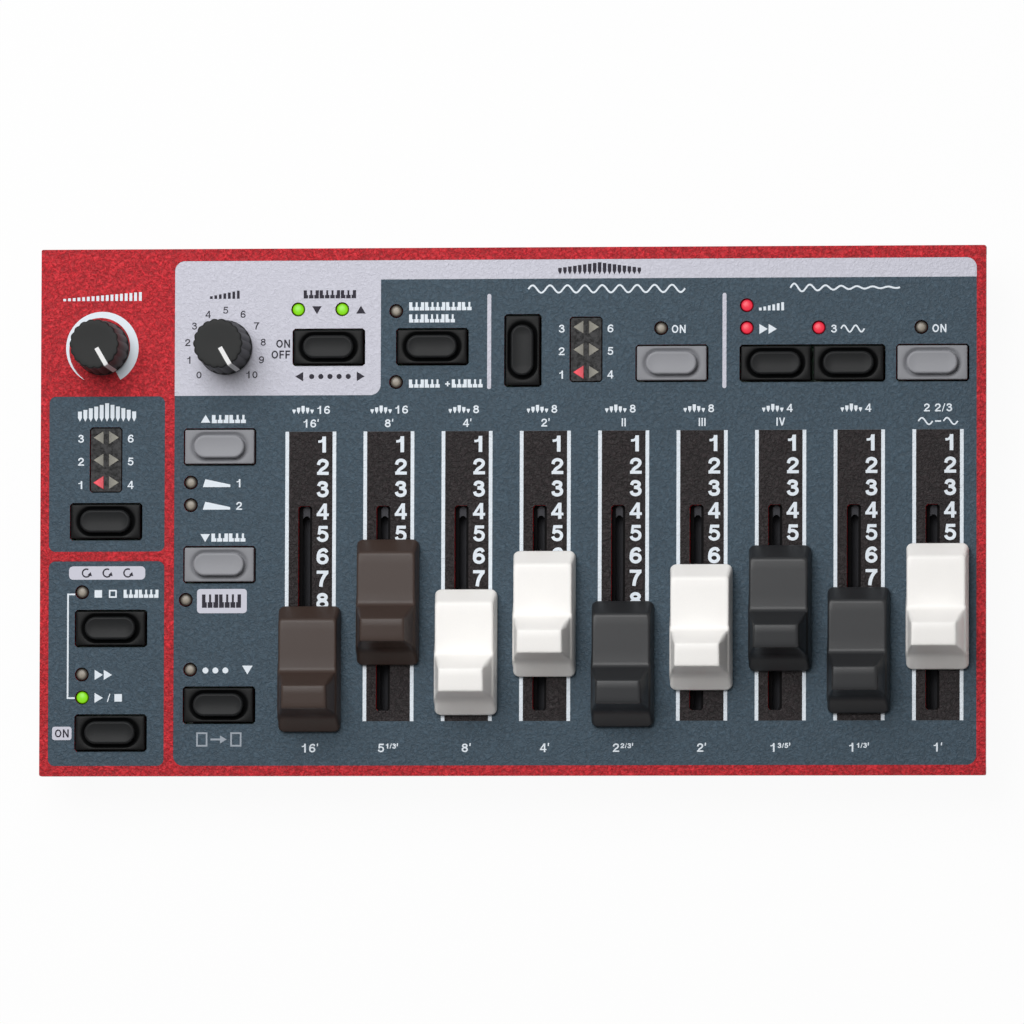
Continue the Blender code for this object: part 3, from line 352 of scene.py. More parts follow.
def moulded_plastic(name, colour, roughness, gloss=0.25, low_shade=0.0, grain=0.35 * MM, depth=0.012 * MM):
    """Injection-moulded plastic with a fine spark-eroded grain, darker in low places near the plate as
    painted shade where asked.
    """
    finish = Finish(name)
    fine, broad = finish.noise(grain, 2.0, 0.6), finish.noise(7 * MM)
    shade = 0.96 + 0.05 * fine + 0.04 * broad
    # Painted shade: below a height over the plate the colour is darker, so rims and moats read shaded and
    # raised tops lit.
    if low_shade:
        height = finish.parts(finish.place())[2]
        out_of_shade = ((height - (PLATE_TOP + SHADE_FADES_FROM)) / SHADE_FADES_OVER).clamped()
        shade = shade * (1.0 - low_shade + low_shade * out_of_shade)
    return finish.done(
        Base_Color=finish.brightened(colour, shade), Roughness=roughness - 0.04 + 0.08 * broad,
        Specular_IOR_Level=gloss, Normal=finish.bump(fine, depth, 0.7),
    )


def lamp_glass(name, colour, glow, reach, soft):
    """Diffused lamp resin: a lit one glows less past its reach from the middle, and an unlit one is darker
    there as painted shade, over a soft edge.
    """
    finish = Finish(name)
    haze = finish.noise(0.6 * MM)
    from_middle = finish.node("ShaderNodeAttribute", {"attribute_name": "from_middle"}, None, "Fac")
    disc = ((reach - from_middle) / soft).clamped()
    if not glow:
        # Painted shade: an unlit lens or arrow is darker towards its rim and lighter in its middle.
        unlit = finish.brightened(colour, 0.16 + 0.64 * disc + 0.35 * haze * disc)
        return finish.done(Base_Color=unlit, Roughness=0.35, Specular_IOR_Level=0.35)
    core = (1.0 - from_middle / reach).clamped()
    pale = tuple(min(1.0, part * 1.15 + 0.02) for part in colour)
    hot = finish.mix(core * (0.6 + 0.6 * haze), colour, pale)
    return finish.done(
        Base_Color=finish.brightened(colour, 0.1 + 0.1 * haze), Roughness=0.3, Specular_IOR_Level=0.3,
        Emission_Color=finish.brightened(hot, 0.1 + 0.9 * disc), Emission_Strength=glow,
    )


def grained(name, colour, noise, tone, depth, strength, **sockets):
    """A finish whose tone and relief follow one noise of a width, a detail and a roughness."""
    finish = Finish(name)
    grain = finish.noise(*noise)
    return finish.done(
        Base_Color=finish.brightened(colour, tone(grain)),
        Normal=finish.bump(grain, depth, strength), **sockets,
    )


def ink(name, colour):
    """Screen-printed ink, a little uneven in its film."""
    return grained(
        name, colour, (0.5 * MM,), lambda film: 0.96 + 0.06 * film, 0.01 * MM, 0.6,
        Roughness=0.45, Specular_IOR_Level=0.1,
    )


def felt_cloth():
    return grained(
        "felt_cloth", srgb(18, 18, 19), (0.25 * MM, 4.0, 0.7), lambda fibre: 0.6 + 0.7 * fibre,
        0.05 * MM, 0.8, Roughness=0.8, Specular_IOR_Level=0.06,
    )


def smoked_plastic():
    """The selector windows' dark, slightly mottled face."""
    return grained(
        "smoked_plastic", srgb(58, 58, 59), (0.8 * MM, 3.0, 0.65),
        lambda mottle: (4.0 * mottle - 1.4).clamped() + 0.2, 0.05 * MM, 0.7,
        Roughness=0.45, Specular_IOR_Level=0.08,
    )


def tray_paint():
    """Dark baked paint on the folded tray."""
    finish = Finish("tray_paint")
    grain, broad = finish.noise(0.6 * MM, 3.0, 0.6), finish.noise(30 * MM)
    return finish.done(
        Base_Color=finish.brightened(srgb(52, 53, 57), 0.85 + 0.2 * grain + 0.1 * broad),
        Roughness=0.5 + 0.1 * grain, Normal=finish.bump(grain, 0.03 * MM, 0.7),
    )


def brushed_metal(name, colour, along):
    """Drawn sheet steel, with its brushing along one axis."""
    finish = Finish(name)
    stretch = tuple(0.06 if axis == along else 1.0 for axis in range(3))
    lines = finish.noise(0.25 * MM, 3.0, 0.6, stretch)
    return finish.done(
        Base_Color=finish.brightened(colour, 0.8 + 0.3 * lines), Metallic=1.0,
        Roughness=0.28 + 0.2 * lines, Normal=finish.bump(lines, 0.01 * MM, 0.5),
    )


def solder_resist():
    """The board's green resist with faint tracks under it, along X in some areas and Y in others."""
    finish = Finish("solder_resist")
    x, y, _ = finish.parts(finish.place())
    areas, pitch, tracks = finish.noise(14 * MM, 0.0), 1.4 * MM, []
    for way, outside in ((x, 0.5 - areas), (y, areas - 0.5)):
        swing = finish.math("PINGPONG", way, pitch)
        tracks.append(printed(swing - 0.25 * pitch, 0.2 * MM) * printed(outside, 0.02))
    either = tracks[0].highest(tracks[1])
    return finish.done(
        Base_Color=finish.mix(either, srgb(20, 74, 44), srgb(34, 104, 60)), Roughness=0.28,
        Normal=finish.bump(either, 0.03 * MM, 0.6),
    )


def add_piece(name, mesh, material=None):
    piece = bpy.data.objects.new(name, mesh)
    bpy.context.scene.collection.objects.link(piece)
    if material is not None:
        mesh.materials.clear()
        mesh.materials.append(material)
    return piece


def from_bmesh(name, shape, material=None):
    mesh = bpy.data.meshes.new(name)
    shape.to_mesh(mesh)
    shape.free()
    return add_piece(name, mesh, material)


def shade_by_angle(mesh, degrees):
    mesh.shade_smooth()
    mesh.set_sharp_from_angle(angle=math.radians(degrees))


def finish_node(name, material):
    """Gives a carried-over node of the frame its material."""
    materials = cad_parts[name].data.materials
    materials.clear()
    materials.append(material)


def plate_spot(node):
    """The place on the plate's top over the middle of a node."""
    low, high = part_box(node)
    return Vector(((low[0] + high[0]) / 2, (low[1] + high[1]) / 2, PLATE_TOP))


def rounded_outline(low, high, radius, steps):
    """Points round a rectangle with round corners, from low to high in X and Y."""
    points = []
    for turn, (side_x, side_y) in enumerate(((1, 1), (-1, 1), (-1, -1), (1, -1))):
        middle_x = high[0] - radius if side_x > 0 else low[0] + radius
        middle_y = high[1] - radius if side_y > 0 else low[1] + radius
        for step in range(steps + 1):
            angle = math.pi / 2 * (turn + step / steps)
            points.append((middle_x + radius * math.cos(angle), middle_y + radius * math.sin(angle)))
    return points


def skin(rings):
    """A closed shape over rings of equally many points, with its first and last ring capped."""
    shape = bmesh.new()
    rows = [[shape.verts.new(point) for point in ring] for ring in rings]
    for lower, upper in zip(rows, rows[1:]):
        for index in range(len(lower)):
            following = (index + 1) % len(lower)
            shape.faces.new((lower[index], lower[following], upper[following], upper[index]))
    shape.faces.new(rows[0][::-1])
    shape.faces.new(rows[-1])
    bmesh.ops.remove_doubles(shape, verts=shape.verts, dist=0.001 * MM)
    bmesh.ops.recalc_face_normals(shape, faces=shape.faces)
    return shape


def turned_shape(profile, steps):
    """A closed shape from (radius, height) points, bottom first, whose ends are on the axis."""
    turns = [2 * math.pi * step / steps for step in range(steps)]
    return skin([
        [(radius * math.cos(turn), radius * math.sin(turn), height) for turn in turns]
        for radius, height in profile
    ])


# A drawbar cap in millimetres: across from its middle, along from its rear edge, up from the plate
CAP_LENGTH = 30.0
CAP_HALF = 7.45
CAP_LIFT = 0.5
CAP_RIM = 1.2
CAP_CORNER = 1.6
# Sloping faces of its body and its nose, each with its foot and its top as (place, height)
CAP_BODY_FACES = (
    ("side", (7.45, 1.2), (6.95, 6.0)), ("rear", (0.0, 1.2), (3.4, 6.0)),
    ("front", (30.0, 1.2), (27.2, 4.6)),
)
CAP_NOSE_FACES = (
    ("side", (6.95, 6.0), (5.25, 13.5)), ("rear", (15.9, 6.0), (19.5, 13.5)),
    ("front", (26.4, 5.0), (24.9, 13.1)), CAP_BODY_FACES[0],
)
CAP_BODY_TOP = 6.0
CAP_NOSE_REAR = 19.5
CAP_NOSE_TOP = 13.5
CAP_NOSE_FALL = 0.068
# How soft the corners of its body and its nose are, and the step between the two
CAP_BODY_CORNER = 1.1
CAP_NOSE_CORNER = 0.5
CAP_STEP_SOFT = 0.9
# Lines of the cap's net, closest where its edges run
CAP_ACROSS = (
    0.0, 1.6, 3.2, 4.4, 4.8, 4.95, 5.07, 5.19, 5.31, 5.43, 5.6, 5.8, 6.1, 6.3, 6.42, 6.54, 6.66, 6.78,
    6.9, 7.0, 7.12, 7.24, 7.36, 7.45,
)
CAP_ALONG = (
    0.0, 0.25, 0.5, 0.8, 1.2, 1.6, 2.1, 2.6, 2.95, 3.1, 3.22, 3.34, 3.46, 3.6, 3.8, 4.1, 6.0, 9.0, 12.0,
    14.8, 15.2, 15.45, 15.65, 15.85, 16.05, 16.25, 16.5, 17.2, 18.2, 19.0, 19.2, 19.32, 19.44, 19.56,
    19.7, 19.9, 21.5, 23.4, 24.3, 24.55, 24.7, 24.82, 24.94, 25.06, 25.2, 25.4, 25.7, 26.0, 26.3, 26.6,
    26.95, 27.25, 27.6, 28.0, 28.4, 28.8, 29.2, 29.5, 29.75, 30.0,
)


def highest_soft(first, second, blend):
    """The higher of two values, rounded where they are close."""
    near = max(blend - abs(first - second), 0.0) / blend
    return max(first, second) + near * near * blend / 4


def lowest_soft(first, second, blend):
    return -highest_soft(-first, -second, blend)


def face_distance(low, high, along, height):
    """How far a place is in front of a sloping face that is given by its foot and its top."""
    run, rise = high[0] - low[0], high[1] - low[1]
    size = math.hypot(run, rise)
    outward = 1.0 if run < 0 else -1.0
    return ((along - low[0]) * rise - (height - low[1]) * run) / size * outward


def cap_distance(across, along, height, edge):
    """How far a place is outside the cap, below 0 inside it."""
    nose_top = CAP_NOSE_TOP - CAP_NOSE_FALL * (along - CAP_NOSE_REAR)
    bodies = []
    for faces, top, corner in (
        (CAP_BODY_FACES, CAP_BODY_TOP, CAP_BODY_CORNER), (CAP_NOSE_FACES, nose_top, CAP_NOSE_CORNER),
    ):
        body, *sides = (
            face_distance(low, high, across if name == "side" else along, height)
            for name, low, high in faces
        )
        for side in sides:
            body = highest_soft(body, side, corner)
        bodies.append(highest_soft(body, height - top, edge))
    return lowest_soft(bodies[0], bodies[1], CAP_STEP_SOFT)


def cap_height(across, along, edge):
    """The cap's top over a place, found by halving."""
    low, high = CAP_RIM, CAP_NOSE_TOP + 0.5
    for _ in range(14):
        middle = (low + high) / 2
        if cap_distance(across, along, middle, edge) < 0:
            low = middle
        else:
            high = middle
    return low


def round_corner(across, along):
    """Moves a place of the square net so that the net's corners are round."""
    past_x = (across - (CAP_HALF - CAP_CORNER)) / CAP_CORNER
    end = min(along, CAP_LENGTH - along)
    past_y = (CAP_CORNER - end) / CAP_CORNER
    if past_x <= 0 or past_y <= 0:
        return across, along
    scale = max(past_x, past_y) / math.hypot(past_x, past_y)
    new_x = CAP_HALF - CAP_CORNER + past_x * scale * CAP_CORNER
    new_end = CAP_CORNER - past_y * scale * CAP_CORNER
    return new_x, new_end if along < CAP_LENGTH / 2 else CAP_LENGTH - new_end


def cap_shape(settings):
    """One drawbar cap, with its rear edge on Y 0 and the plate on Z 0."""
    shape = bmesh.new()
    edge = 2.2 * settings.edge / MM
    columns = [-across for across in reversed(CAP_ACROSS[1:])] + list(CAP_ACROSS)
    heights, net = {}, []
    for along in CAP_ALONG:
        row = []
        for column in columns:
            across, back = round_corner(abs(column), along)
            key = (abs(column), along)
            if key not in heights:
                heights[key] = cap_height(across, back, edge)
            x = math.copysign(across, column)
            row.append(shape.verts.new((x * MM, -back * MM, heights[key] * MM)))
        net.append(row)
    for row, following in zip(net, net[1:]):
        for index in range(len(row) - 1):
            shape.faces.new((row[index], row[index + 1], following[index + 1], following[index]))
    rim = net[0] + [row[-1] for row in net[1:-1]] + net[-1][::-1] + [row[0] for row in net[-2:0:-1]]
    below = [shape.verts.new((vert.co.x, vert.co.y, CAP_LIFT * MM)) for vert in rim]
    for index in range(len(rim)):
        before = index - 1
        shape.faces.new((rim[before], rim[index], below[index], below[before]))
    shape.faces.new(below)
    bmesh.ops.recalc_face_normals(shape, faces=shape.faces)
    return shape


class ORGAN_PANEL_OT_caps(bpy.types.Operator):
    """Make the nine drawbar caps in place of the plain ones"""
    bl_idname = "organ_panel.caps"
    bl_label = "Drawbar Caps"

    def execute(self, context):
        settings = context.scene.organ_caps
        finishes = {
            "brown": moulded_plastic("brown_plastic", settings.brown, 0.32, 0.17),
            "white": moulded_plastic("white_plastic", settings.white, 0.30),
            "black": moulded_plastic("black_plastic", settings.black, 0.32, 0.23),
        }
        form = from_bmesh("drawbar_cap", cap_shape(settings))
        shade_by_angle(form.data, 50)
        for number, name in enumerate(CAP_SLOTS, 1):
            low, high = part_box(f"fader_cap_{number}")
            mesh = form.data.copy()
            mesh.transform(Matrix.Translation(((low[0] + high[0]) / 2, high[1], PLATE_TOP)))
            cap = add_piece(f"drawbar_cap_{number}", mesh, finishes[name])
            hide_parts(f"fader_cap_{number}")
            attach(cap, f"fader_{number}")
        bpy.data.objects.remove(form, do_unlink=True)
        return {"FINISHED"}


BUTTON_LENGTH = 16.6 * MM
BUTTON_WIDTH = 8.1 * MM
BUTTON_FOOT = 3.1 * MM
BUTTON_TOP = 1.0 * MM
BUTTON_CORNER = 0.35 * MM
BUTTON_EASE = 0.18 * MM
PILL_LENGTH = 12.1 * MM
PILL_WIDTH = 5.4 * MM
# Rounds of the moat: how far outside the pill and how much slimmer they are in millimetres, and
# their depth as a share of the moat's
MOAT_ROUNDS = (
    (1.45, 0.42, 0.0), (1.20, 0.28, 0.03), (1.00, 0.16, 0.10), (0.80, 0.07, 0.25), (0.60, 0.0, 0.47),
    (0.42, 0.0, 0.72), (0.27, 0.0, 0.90), (0.14, 0.0, 1.0), (0.03, 0.0, 0.8),
)
# Rounds of the pill: how far outside it and how far under its top they are, in millimetres
PILL_ROUNDS = (
    (0.0, 0.45), (-0.10, 0.20), (-0.30, 0.04), (-0.50, 0.0), (-0.62, 0.03), (-1.9, 0.16), (-2.55, 0.18),
)
BUTTON_NODES = (
    "model_button", "rotary_stop_button", "rotary_on_button", "octave_up_button",
    "octave_down_button", "preset_button", "zone_button", "manual_edit_button",
    "vibrato_select_button", "vibrato_on_button", "percussion_fast_button",
    "percussion_third_button", "percussion_on_button",
)
GREY_BUTTONS = ("octave_up_button", "octave_down_button", "vibrato_on_button", "percussion_on_button")


def button_shape(settings):
    """One button about the origin, with the plate's top on Z 0 and its long side along X."""
    def flat(length, width, radius, height):
        outline = rounded_outline((-length / 2, -width / 2), (length / 2, width / 2), radius, 10)
        return [(x, y, height) for x, y in outline]

    def oblong(grown, height, slimmer=0.0):
        width = PILL_WIDTH + 2 * (grown - slimmer) * MM
        return flat(PILL_LENGTH + 2 * grown * MM, width, width / 2 - 0.05 * MM, height)

    sides = (
        (0.0, -BUTTON_FOOT), (0.0, BUTTON_TOP - BUTTON_EASE),
        (BUTTON_EASE, BUTTON_TOP - 0.3 * BUTTON_EASE), (2 * BUTTON_EASE, BUTTON_TOP),
    )
    rings = [flat(BUTTON_LENGTH - less, BUTTON_WIDTH - less, BUTTON_CORNER, z) for less, z in sides]
    for grown, slimmer, depth in MOAT_ROUNDS:
        rings.append(oblong(grown, BUTTON_TOP - depth * settings.moat, slimmer))
    for grown, below in PILL_ROUNDS:
        rings.append(oblong(grown, settings.rise - below * MM))
    return skin(rings)


class ORGAN_PANEL_OT_buttons(bpy.types.Operator):
    """Make the thirteen push buttons in place of the plain ones"""
    bl_idname = "organ_panel.buttons"
    bl_label = "Push Buttons"

    def execute(self, context):
        settings = context.scene.organ_buttons
        # The last value is how strongly painted shade darkens the buttons' rims and moats.
        black = moulded_plastic("black_button_plastic", settings.black, 0.36, 0.08, 0.7)
        grey = moulded_plastic("grey_button_plastic", settings.grey, 0.42, 0.12, 0.14)
        for node in BUTTON_NODES:
            is_grey = node in GREY_BUTTONS
            low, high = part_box(node)
            upright = high[1] - low[1] > high[0] - low[0]
            turn = Matrix.Rotation(math.pi / 2 if upright else 0.0, 4, "Z")
            piece = from_bmesh(node + "_cap", button_shape(settings), grey if is_grey else black)
            piece.data.transform(Matrix.Translation(plate_spot(node)) @ turn)
            shade_by_angle(piece.data, 35)
            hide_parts(node)
            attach(piece, node + "_body")
        return {"FINISHED"}


class Group(Nodes):
    """A geometry tree with a Geometry input, more inputs by name and kind, and a Geometry output."""

    def __init__(self, name, *inputs):
        super().__init__(bpy.data.node_groups.new(name, "GeometryNodeTree"))
        for label, kind in (("Geometry", "Geometry"), *inputs):
            self.tree.interface.new_socket(label, in_out="INPUT", socket_type="NodeSocket" + kind)
        self.tree.interface.new_socket("Geometry", in_out="OUTPUT", socket_type="NodeSocketGeometry")

    def given(self, label):
        return self.node("NodeGroupInput", output=label)

    def from_above(self):
        """Each corner's place seen from above, and how far it is from the middle."""
        where = self.node("GeometryNodeInputPosition")
        flat = self.node("ShaderNodeVectorMath", {"operation": "MULTIPLY"}, {0: where, 1: (1, 1, 0)})
        return flat, self.node("ShaderNodeVectorMath", {"operation": "LENGTH"}, {0: flat}, "Value")

    def finished(self, geometry):
        """Realizes the geometry, gives it the Finish and ends the tree with it."""
        realized = self.node("GeometryNodeRealizeInstances", None, {0: geometry})
        inputs = {"Geometry": realized, "Material": self.given("Finish")}
        self.node("NodeGroupOutput", None, {0: self.node("GeometryNodeSetMaterial", None, inputs)})
        return self.tree


def run_tree(piece, tree, values):
    """A plain piece in place of this one, as the tree makes it with these values for its inputs."""
    modifier = piece.modifiers.new(tree.name, "NODES")
    modifier.node_group = tree
    for item in tree.interface.items_tree:
        if item.item_type == "SOCKET" and item.in_out == "INPUT" and item.name in values:
            modifier[item.identifier] = values[item.name]
    bpy.context.view_layer.update()
    graph = bpy.context.evaluated_depsgraph_get()
    mesh = bpy.data.meshes.new_from_object(piece.evaluated_get(graph))
    name = piece.name
    bpy.data.objects.remove(piece, do_unlink=True)
    mesh.name = name
    return add_piece(name, mesh)


def fluting_tree():
    """Draws a turned knob's side in at even finger flutes between two heights."""
    tree = Group(
        "fluting", ("Flutes", "Int"), ("Depth", "Float"), ("Low", "Float"), ("High", "Float"),
        ("Least radius", "Float"), ("Finish", "Material"),
    )
    x, y, z = tree.parts(tree.node("GeometryNodeInputPosition"))
    swing = tree.math("SINE", tree.math("ARCTAN2", y, x) * (tree.given("Flutes") / 2.0))
    dip = (1.0 - abs(swing)) * tree.given("Depth")
    flat, radius = tree.from_above()
    inward = tree.node(
        "ShaderNodeVectorMath", {"operation": "SCALE"},
        {0: flat, "Scale": dip * -1.0 / radius.highest(0.1 * MM)},
    )
    above = tree.math("GREATER_THAN", z, tree.given("Low"))
    below = tree.math("LESS_THAN", z, tree.given("High"))
    outer = tree.math("GREATER_THAN", radius, tree.given("Least radius"))
    inputs = {"Geometry": tree.given("Geometry"), "Selection": above * below * outer, "Offset": inward}
    return tree.finished(tree.node("GeometryNodeSetPosition", None, inputs))


def repeat_tree():
    """Puts one shape on every point, keeps how far each corner is from its shape's middle."""
    tree = Group("repeat_on_points", ("Shape", "Object"), ("Finish", "Material"))
    shape = tree.node("GeometryNodeObjectInfo", None, {"Object": tree.given("Shape")}, "Geometry")
    measured = tree.node(
        "GeometryNodeStoreNamedAttribute", {"data_type": "FLOAT", "domain": "POINT"},
        {"Geometry": shape, "Name": "from_middle", "Value": tree.from_above()[1]},
    )
    inputs = {"Points": tree.given("Geometry"), "Instance": measured}
    return tree.finished(tree.node("GeometryNodeInstanceOnPoints", None, inputs))


# Half outline of a knob in millimetres, as radii and heights over the plate
KNOB_BASE = 6.55
KNOB_TOP = 5.95
KNOB_HEIGHT = 15.0
KNOB_LIFT = 0.5
KNOB_SKIRT = 1.4
KNOB_LEDGE = 0.12
KNOB_SHOULDER = 0.4
# Knobs are fluted outside this radius
FLUTED_FROM = 4.9
KNOB_AT_REST = math.radians(-150.0)
POINTER_HALF = 0.525 * MM
POINTER_PROUD = 0.05 * MM
POINTER_SUNK = 0.25 * MM


def knob_profile():
    """The knob's half outline from the middle of its underside to the middle of its top."""
    foot = KNOB_SKIRT + KNOB_LEDGE
    profile = [
        (0.6, KNOB_LIFT), (KNOB_BASE - 0.2, KNOB_LIFT), (KNOB_BASE, KNOB_LIFT + 0.2),
        (KNOB_BASE, KNOB_SKIRT), (KNOB_BASE - KNOB_LEDGE, foot),
    ]
    for step in range(1, 13):
        share = step / 12
        radius = KNOB_BASE - KNOB_LEDGE + share * (KNOB_TOP - KNOB_BASE + KNOB_LEDGE)
        profile.append((radius, foot + share * (KNOB_HEIGHT - KNOB_SHOULDER - foot)))
    for step in range(1, 7):
        angle = math.pi / 2 * step / 6
        radius = KNOB_TOP - KNOB_SHOULDER * (1 - math.cos(angle))
        profile.append((radius, KNOB_HEIGHT - KNOB_SHOULDER * (1 - math.sin(angle))))
    profile += [(4.6, KNOB_HEIGHT), (3.0, KNOB_HEIGHT - 0.04), (0.6, KNOB_HEIGHT - 0.06)]
    return [(radius * MM, height * MM) for radius, height in profile]


def pointer_shape():
    """The white line: along the top from near the middle, over the shoulder and down the side."""
    path = [point for point in knob_profile()[4:] if point[0] > 2.0 * MM]
    path.append((1.1 * MM, (KNOB_HEIGHT - 0.05) * MM))
    rings = []
    for index, (radius, height) in enumerate(path):
        before, after = path[max(index - 1, 0)], path[min(index + 1, len(path) - 1)]
        run, rise = after[0] - before[0], after[1] - before[1]
        size = math.hypot(run, rise)
        top, low = (
            (radius + off * rise / size, height - off * run / size)
            for off in (POINTER_PROUD, -POINTER_SUNK)
        )
        rings.append([(side * POINTER_HALF, *top) for side in (-1, 1)])
        rings[-1] += [(side * POINTER_HALF, *low) for side in (1, -1)]
    return skin(rings)


class ORGAN_PANEL_OT_knobs(bpy.types.Operator):
    """Make the two fluted level knobs and their pointers"""
    bl_idname = "organ_panel.knobs"
    bl_label = "Level Knobs"

    def execute(self, context):
        settings = context.scene.organ_knobs
        soft = moulded_plastic("knob_plastic", settings.body, 0.42, 0.1, 0.0, 0.3 * MM, 0.01 * MM)
        white = moulded_plastic("pointer_plastic", settings.pointer, 0.45)
        tree = fluting_tree()
        values = {
            "Flutes": settings.flutes, "Depth": settings.flute_depth, "Low": (KNOB_SKIRT + 0.2) * MM,
            "High": (KNOB_HEIGHT + 0.1) * MM, "Least radius": FLUTED_FROM * MM, "Finish": soft,
        }
        for name in LEVELS:
            knob = run_tree(from_bmesh(name + "_knob_body", turned_shape(knob_profile(), 216)), tree, values)
            pointer = from_bmesh(name + "_pointer", pointer_shape(), white)
            at_rest = Matrix.Translation(plate_spot(name + "_knob")) @ Matrix.Rotation(KNOB_AT_REST, 4, "Z")
            for piece in (knob, pointer):
                piece.data.transform(at_rest)
                shade_by_angle(piece.data, 38)
                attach(piece, name + "_body")
            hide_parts(name + "_knob")
        return {"FINISHED"}


# Middles of the lamps on the plate, in millimetres
GREEN_LAMPS = ((-51.4, 48.5), (-40.8, 48.5), (-103.1, -44.3))
RED_LAMPS = ((56.3, 49.0), (56.3, 43.6), (73.5, 43.6))
UNLIT_LAMPS = (
    (-27.8, 48.0), (-27.8, 31.0), (-77.1, 7.1), (-77.1, 1.7), (-78.2, -21.0), (-77.1, -37.7),
    (-103.2, -19.1), (-103.2, -38.8), (35.8, 43.6), (98.0, 43.6),
)
# Half outline of a lamp's lens, from its foot to its crown
LAMP_PROFILE = (
    (0.02, -1.7), (1.46, -1.7), (1.46, -0.52), (1.40, -0.34), (1.27, -0.18), (1.06, -0.05),
    (0.80, 0.03), (0.45, 0.08), (0.02, 0.10),
)
# How far from its middle a lit lamp or arrow glows fully and an unlit one stays free of painted shade, and
# the soft edge of that
LIT_REACH = (1.45 * MM, 0.3 * MM)
UNLIT_REACH = (1.2 * MM, 0.6 * MM)
LIT_ARROW_REACH = (2.4 * MM, 1.0 * MM)
UNLIT_ARROW_REACH = (2.3 * MM, 1.5 * MM)
ARROW_COLUMN = 1.85 * MM
ARROW_PITCH = 5.4 * MM
ARROW_WIDTH = 2.6 * MM
ARROW_HEIGHT = 3.4 * MM
ARROW_FLOOR = -0.7 * MM
ARROW_FACE = -0.28 * MM


def on_points(name, points, shape, tree, material):
    """A plain piece with the shape repeated at every point."""
    mesh = bpy.data.meshes.new(name)
    mesh.from_pydata(points, [], [])
    return run_tree(add_piece(name, mesh), tree, {"Shape": shape, "Finish": material})


def arrow_shape(way):
    """A small pointed lens, pointing along X by the sign of way, with its middle on the origin."""
    rings = []
    for shrunk, height in ((0.0, ARROW_FLOOR), (0.0, ARROW_FACE - 0.12 * MM), (0.14 * MM, ARROW_FACE)):
        half, tall = ARROW_WIDTH / 2 - shrunk, ARROW_HEIGHT / 2 - 1.3 * shrunk
        ring = [(way * half, 0.0, height), (-way * half, tall, height), (-way * half, -tall, height)]
        rings.append(ring if way > 0 else ring[::-1])
    return skin(rings)


class ORGAN_PANEL_OT_lamps(bpy.types.Operator):
    """Make the lamps' lenses and the arrows in the selector windows"""
    bl_idname = "organ_panel.lamps"
    bl_label = "Lamps and Arrows"

    def execute(self, context):
        settings = context.scene.organ_lamps
        glow, tree, made = settings.glow, repeat_tree(), []
        profile = [(radius * MM, height * MM) for radius, height in LAMP_PROFILE]
        lens = from_bmesh("lens_form", turned_shape(profile, 40))
        for name, places, glass in (
            ("green", GREEN_LAMPS, lamp_glass("green_lamp", settings.green, glow, *LIT_REACH)),
            ("red", RED_LAMPS, lamp_glass("red_lamp", settings.red, glow, *LIT_REACH)),
            ("unlit", UNLIT_LAMPS, lamp_glass("unlit_lamp", settings.unlit, 0.0, *UNLIT_REACH)),
        ):
            points = [(x * MM, y * MM, PLATE_TOP) for x, y in places]
            made.append(on_points("lamps_" + name, points, lens, tree, glass))
        bpy.data.objects.remove(lens, do_unlink=True)
        unlit = lamp_glass("unlit_arrow", settings.arrow, 0.0, *UNLIT_ARROW_REACH)
        lit = lamp_glass("red_arrow", settings.red, glow, *LIT_ARROW_REACH)
        for window in WINDOWS:
            middle = plate_spot(window)
            for way, side in ((-1, "left"), (1, "right")):
                name, arrow = f"{window}_arrows_{side}", from_bmesh("arrow_form", arrow_shape(way))
                spots = [
                    middle + Vector((way * ARROW_COLUMN, row * ARROW_PITCH, 0.0)) for row in (-1, 0, 1)
                ]
                first_is_lit = way < 0
                made.append(on_points(name, spots[first_is_lit:], arrow, tree, unlit))
                if first_is_lit:
                    made.append(on_points(name + "_lit", spots[:1], arrow, tree, lit))
                bpy.data.objects.remove(arrow, do_unlink=True)
        for piece in made:
            shade_by_angle(piece.data, 30)
            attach(piece, CHASSIS)
        return {"FINISHED"}


def smooth_path(points):
    """A smooth path through the points, in four steps from each to the next."""
    ends = [points[0], *points, points[-1]]
    path = []
    for index in range(1, len(ends) - 2):
        nearby = ends[index - 1:index + 3]
        for share in (0.0, 0.25, 0.5, 0.75):
            path.append(tuple(curve_between(*values, share) for values in zip(*nearby)))
    return path + [points[-1]]


def curve_between(before, first, second, after, share):
    """A value between the first and second of four, on a smooth curve through them."""
    slope = second - before
    bend = 2 * before - 5 * first + 4 * second - after
    twist = 3 * (first - second) + after - before
    return first + 0.5 * share * (slope + share * (bend + share * twist))


def oval(x, y, radius_x, radius_y, steps=20, start=0.0, turn=360.0):
    """Points round an oval, or round a part of it where turn is less than a whole one."""
    count = steps if turn == 360.0 else steps + 1
    angles = [math.radians(start + turn * step / steps) for step in range(count)]
    return [(x + radius_x * math.cos(angle), y + radius_y * math.sin(angle)) for angle in angles]


def line(*points, weight=1.0):
    return list(points), False, weight


def bend(*points, weight=1.0):
    return smooth_path(points), False, weight


def ring(x, y, radius_x, radius_y):
    return oval(x, y, radius_x, radius_y), True, 1.0


SIX = (
    ring(0.385, 0.33, 0.275, 0.235),
    bend((0.655, 0.74), (0.56, 0.88), (0.40, 0.905), (0.22, 0.81), (0.125, 0.60), (0.11, 0.36)),
)
NINE = tuple(([(0.76 - x, 1.0 - y) for x, y in path], closed, weight) for path, closed, weight in SIX)
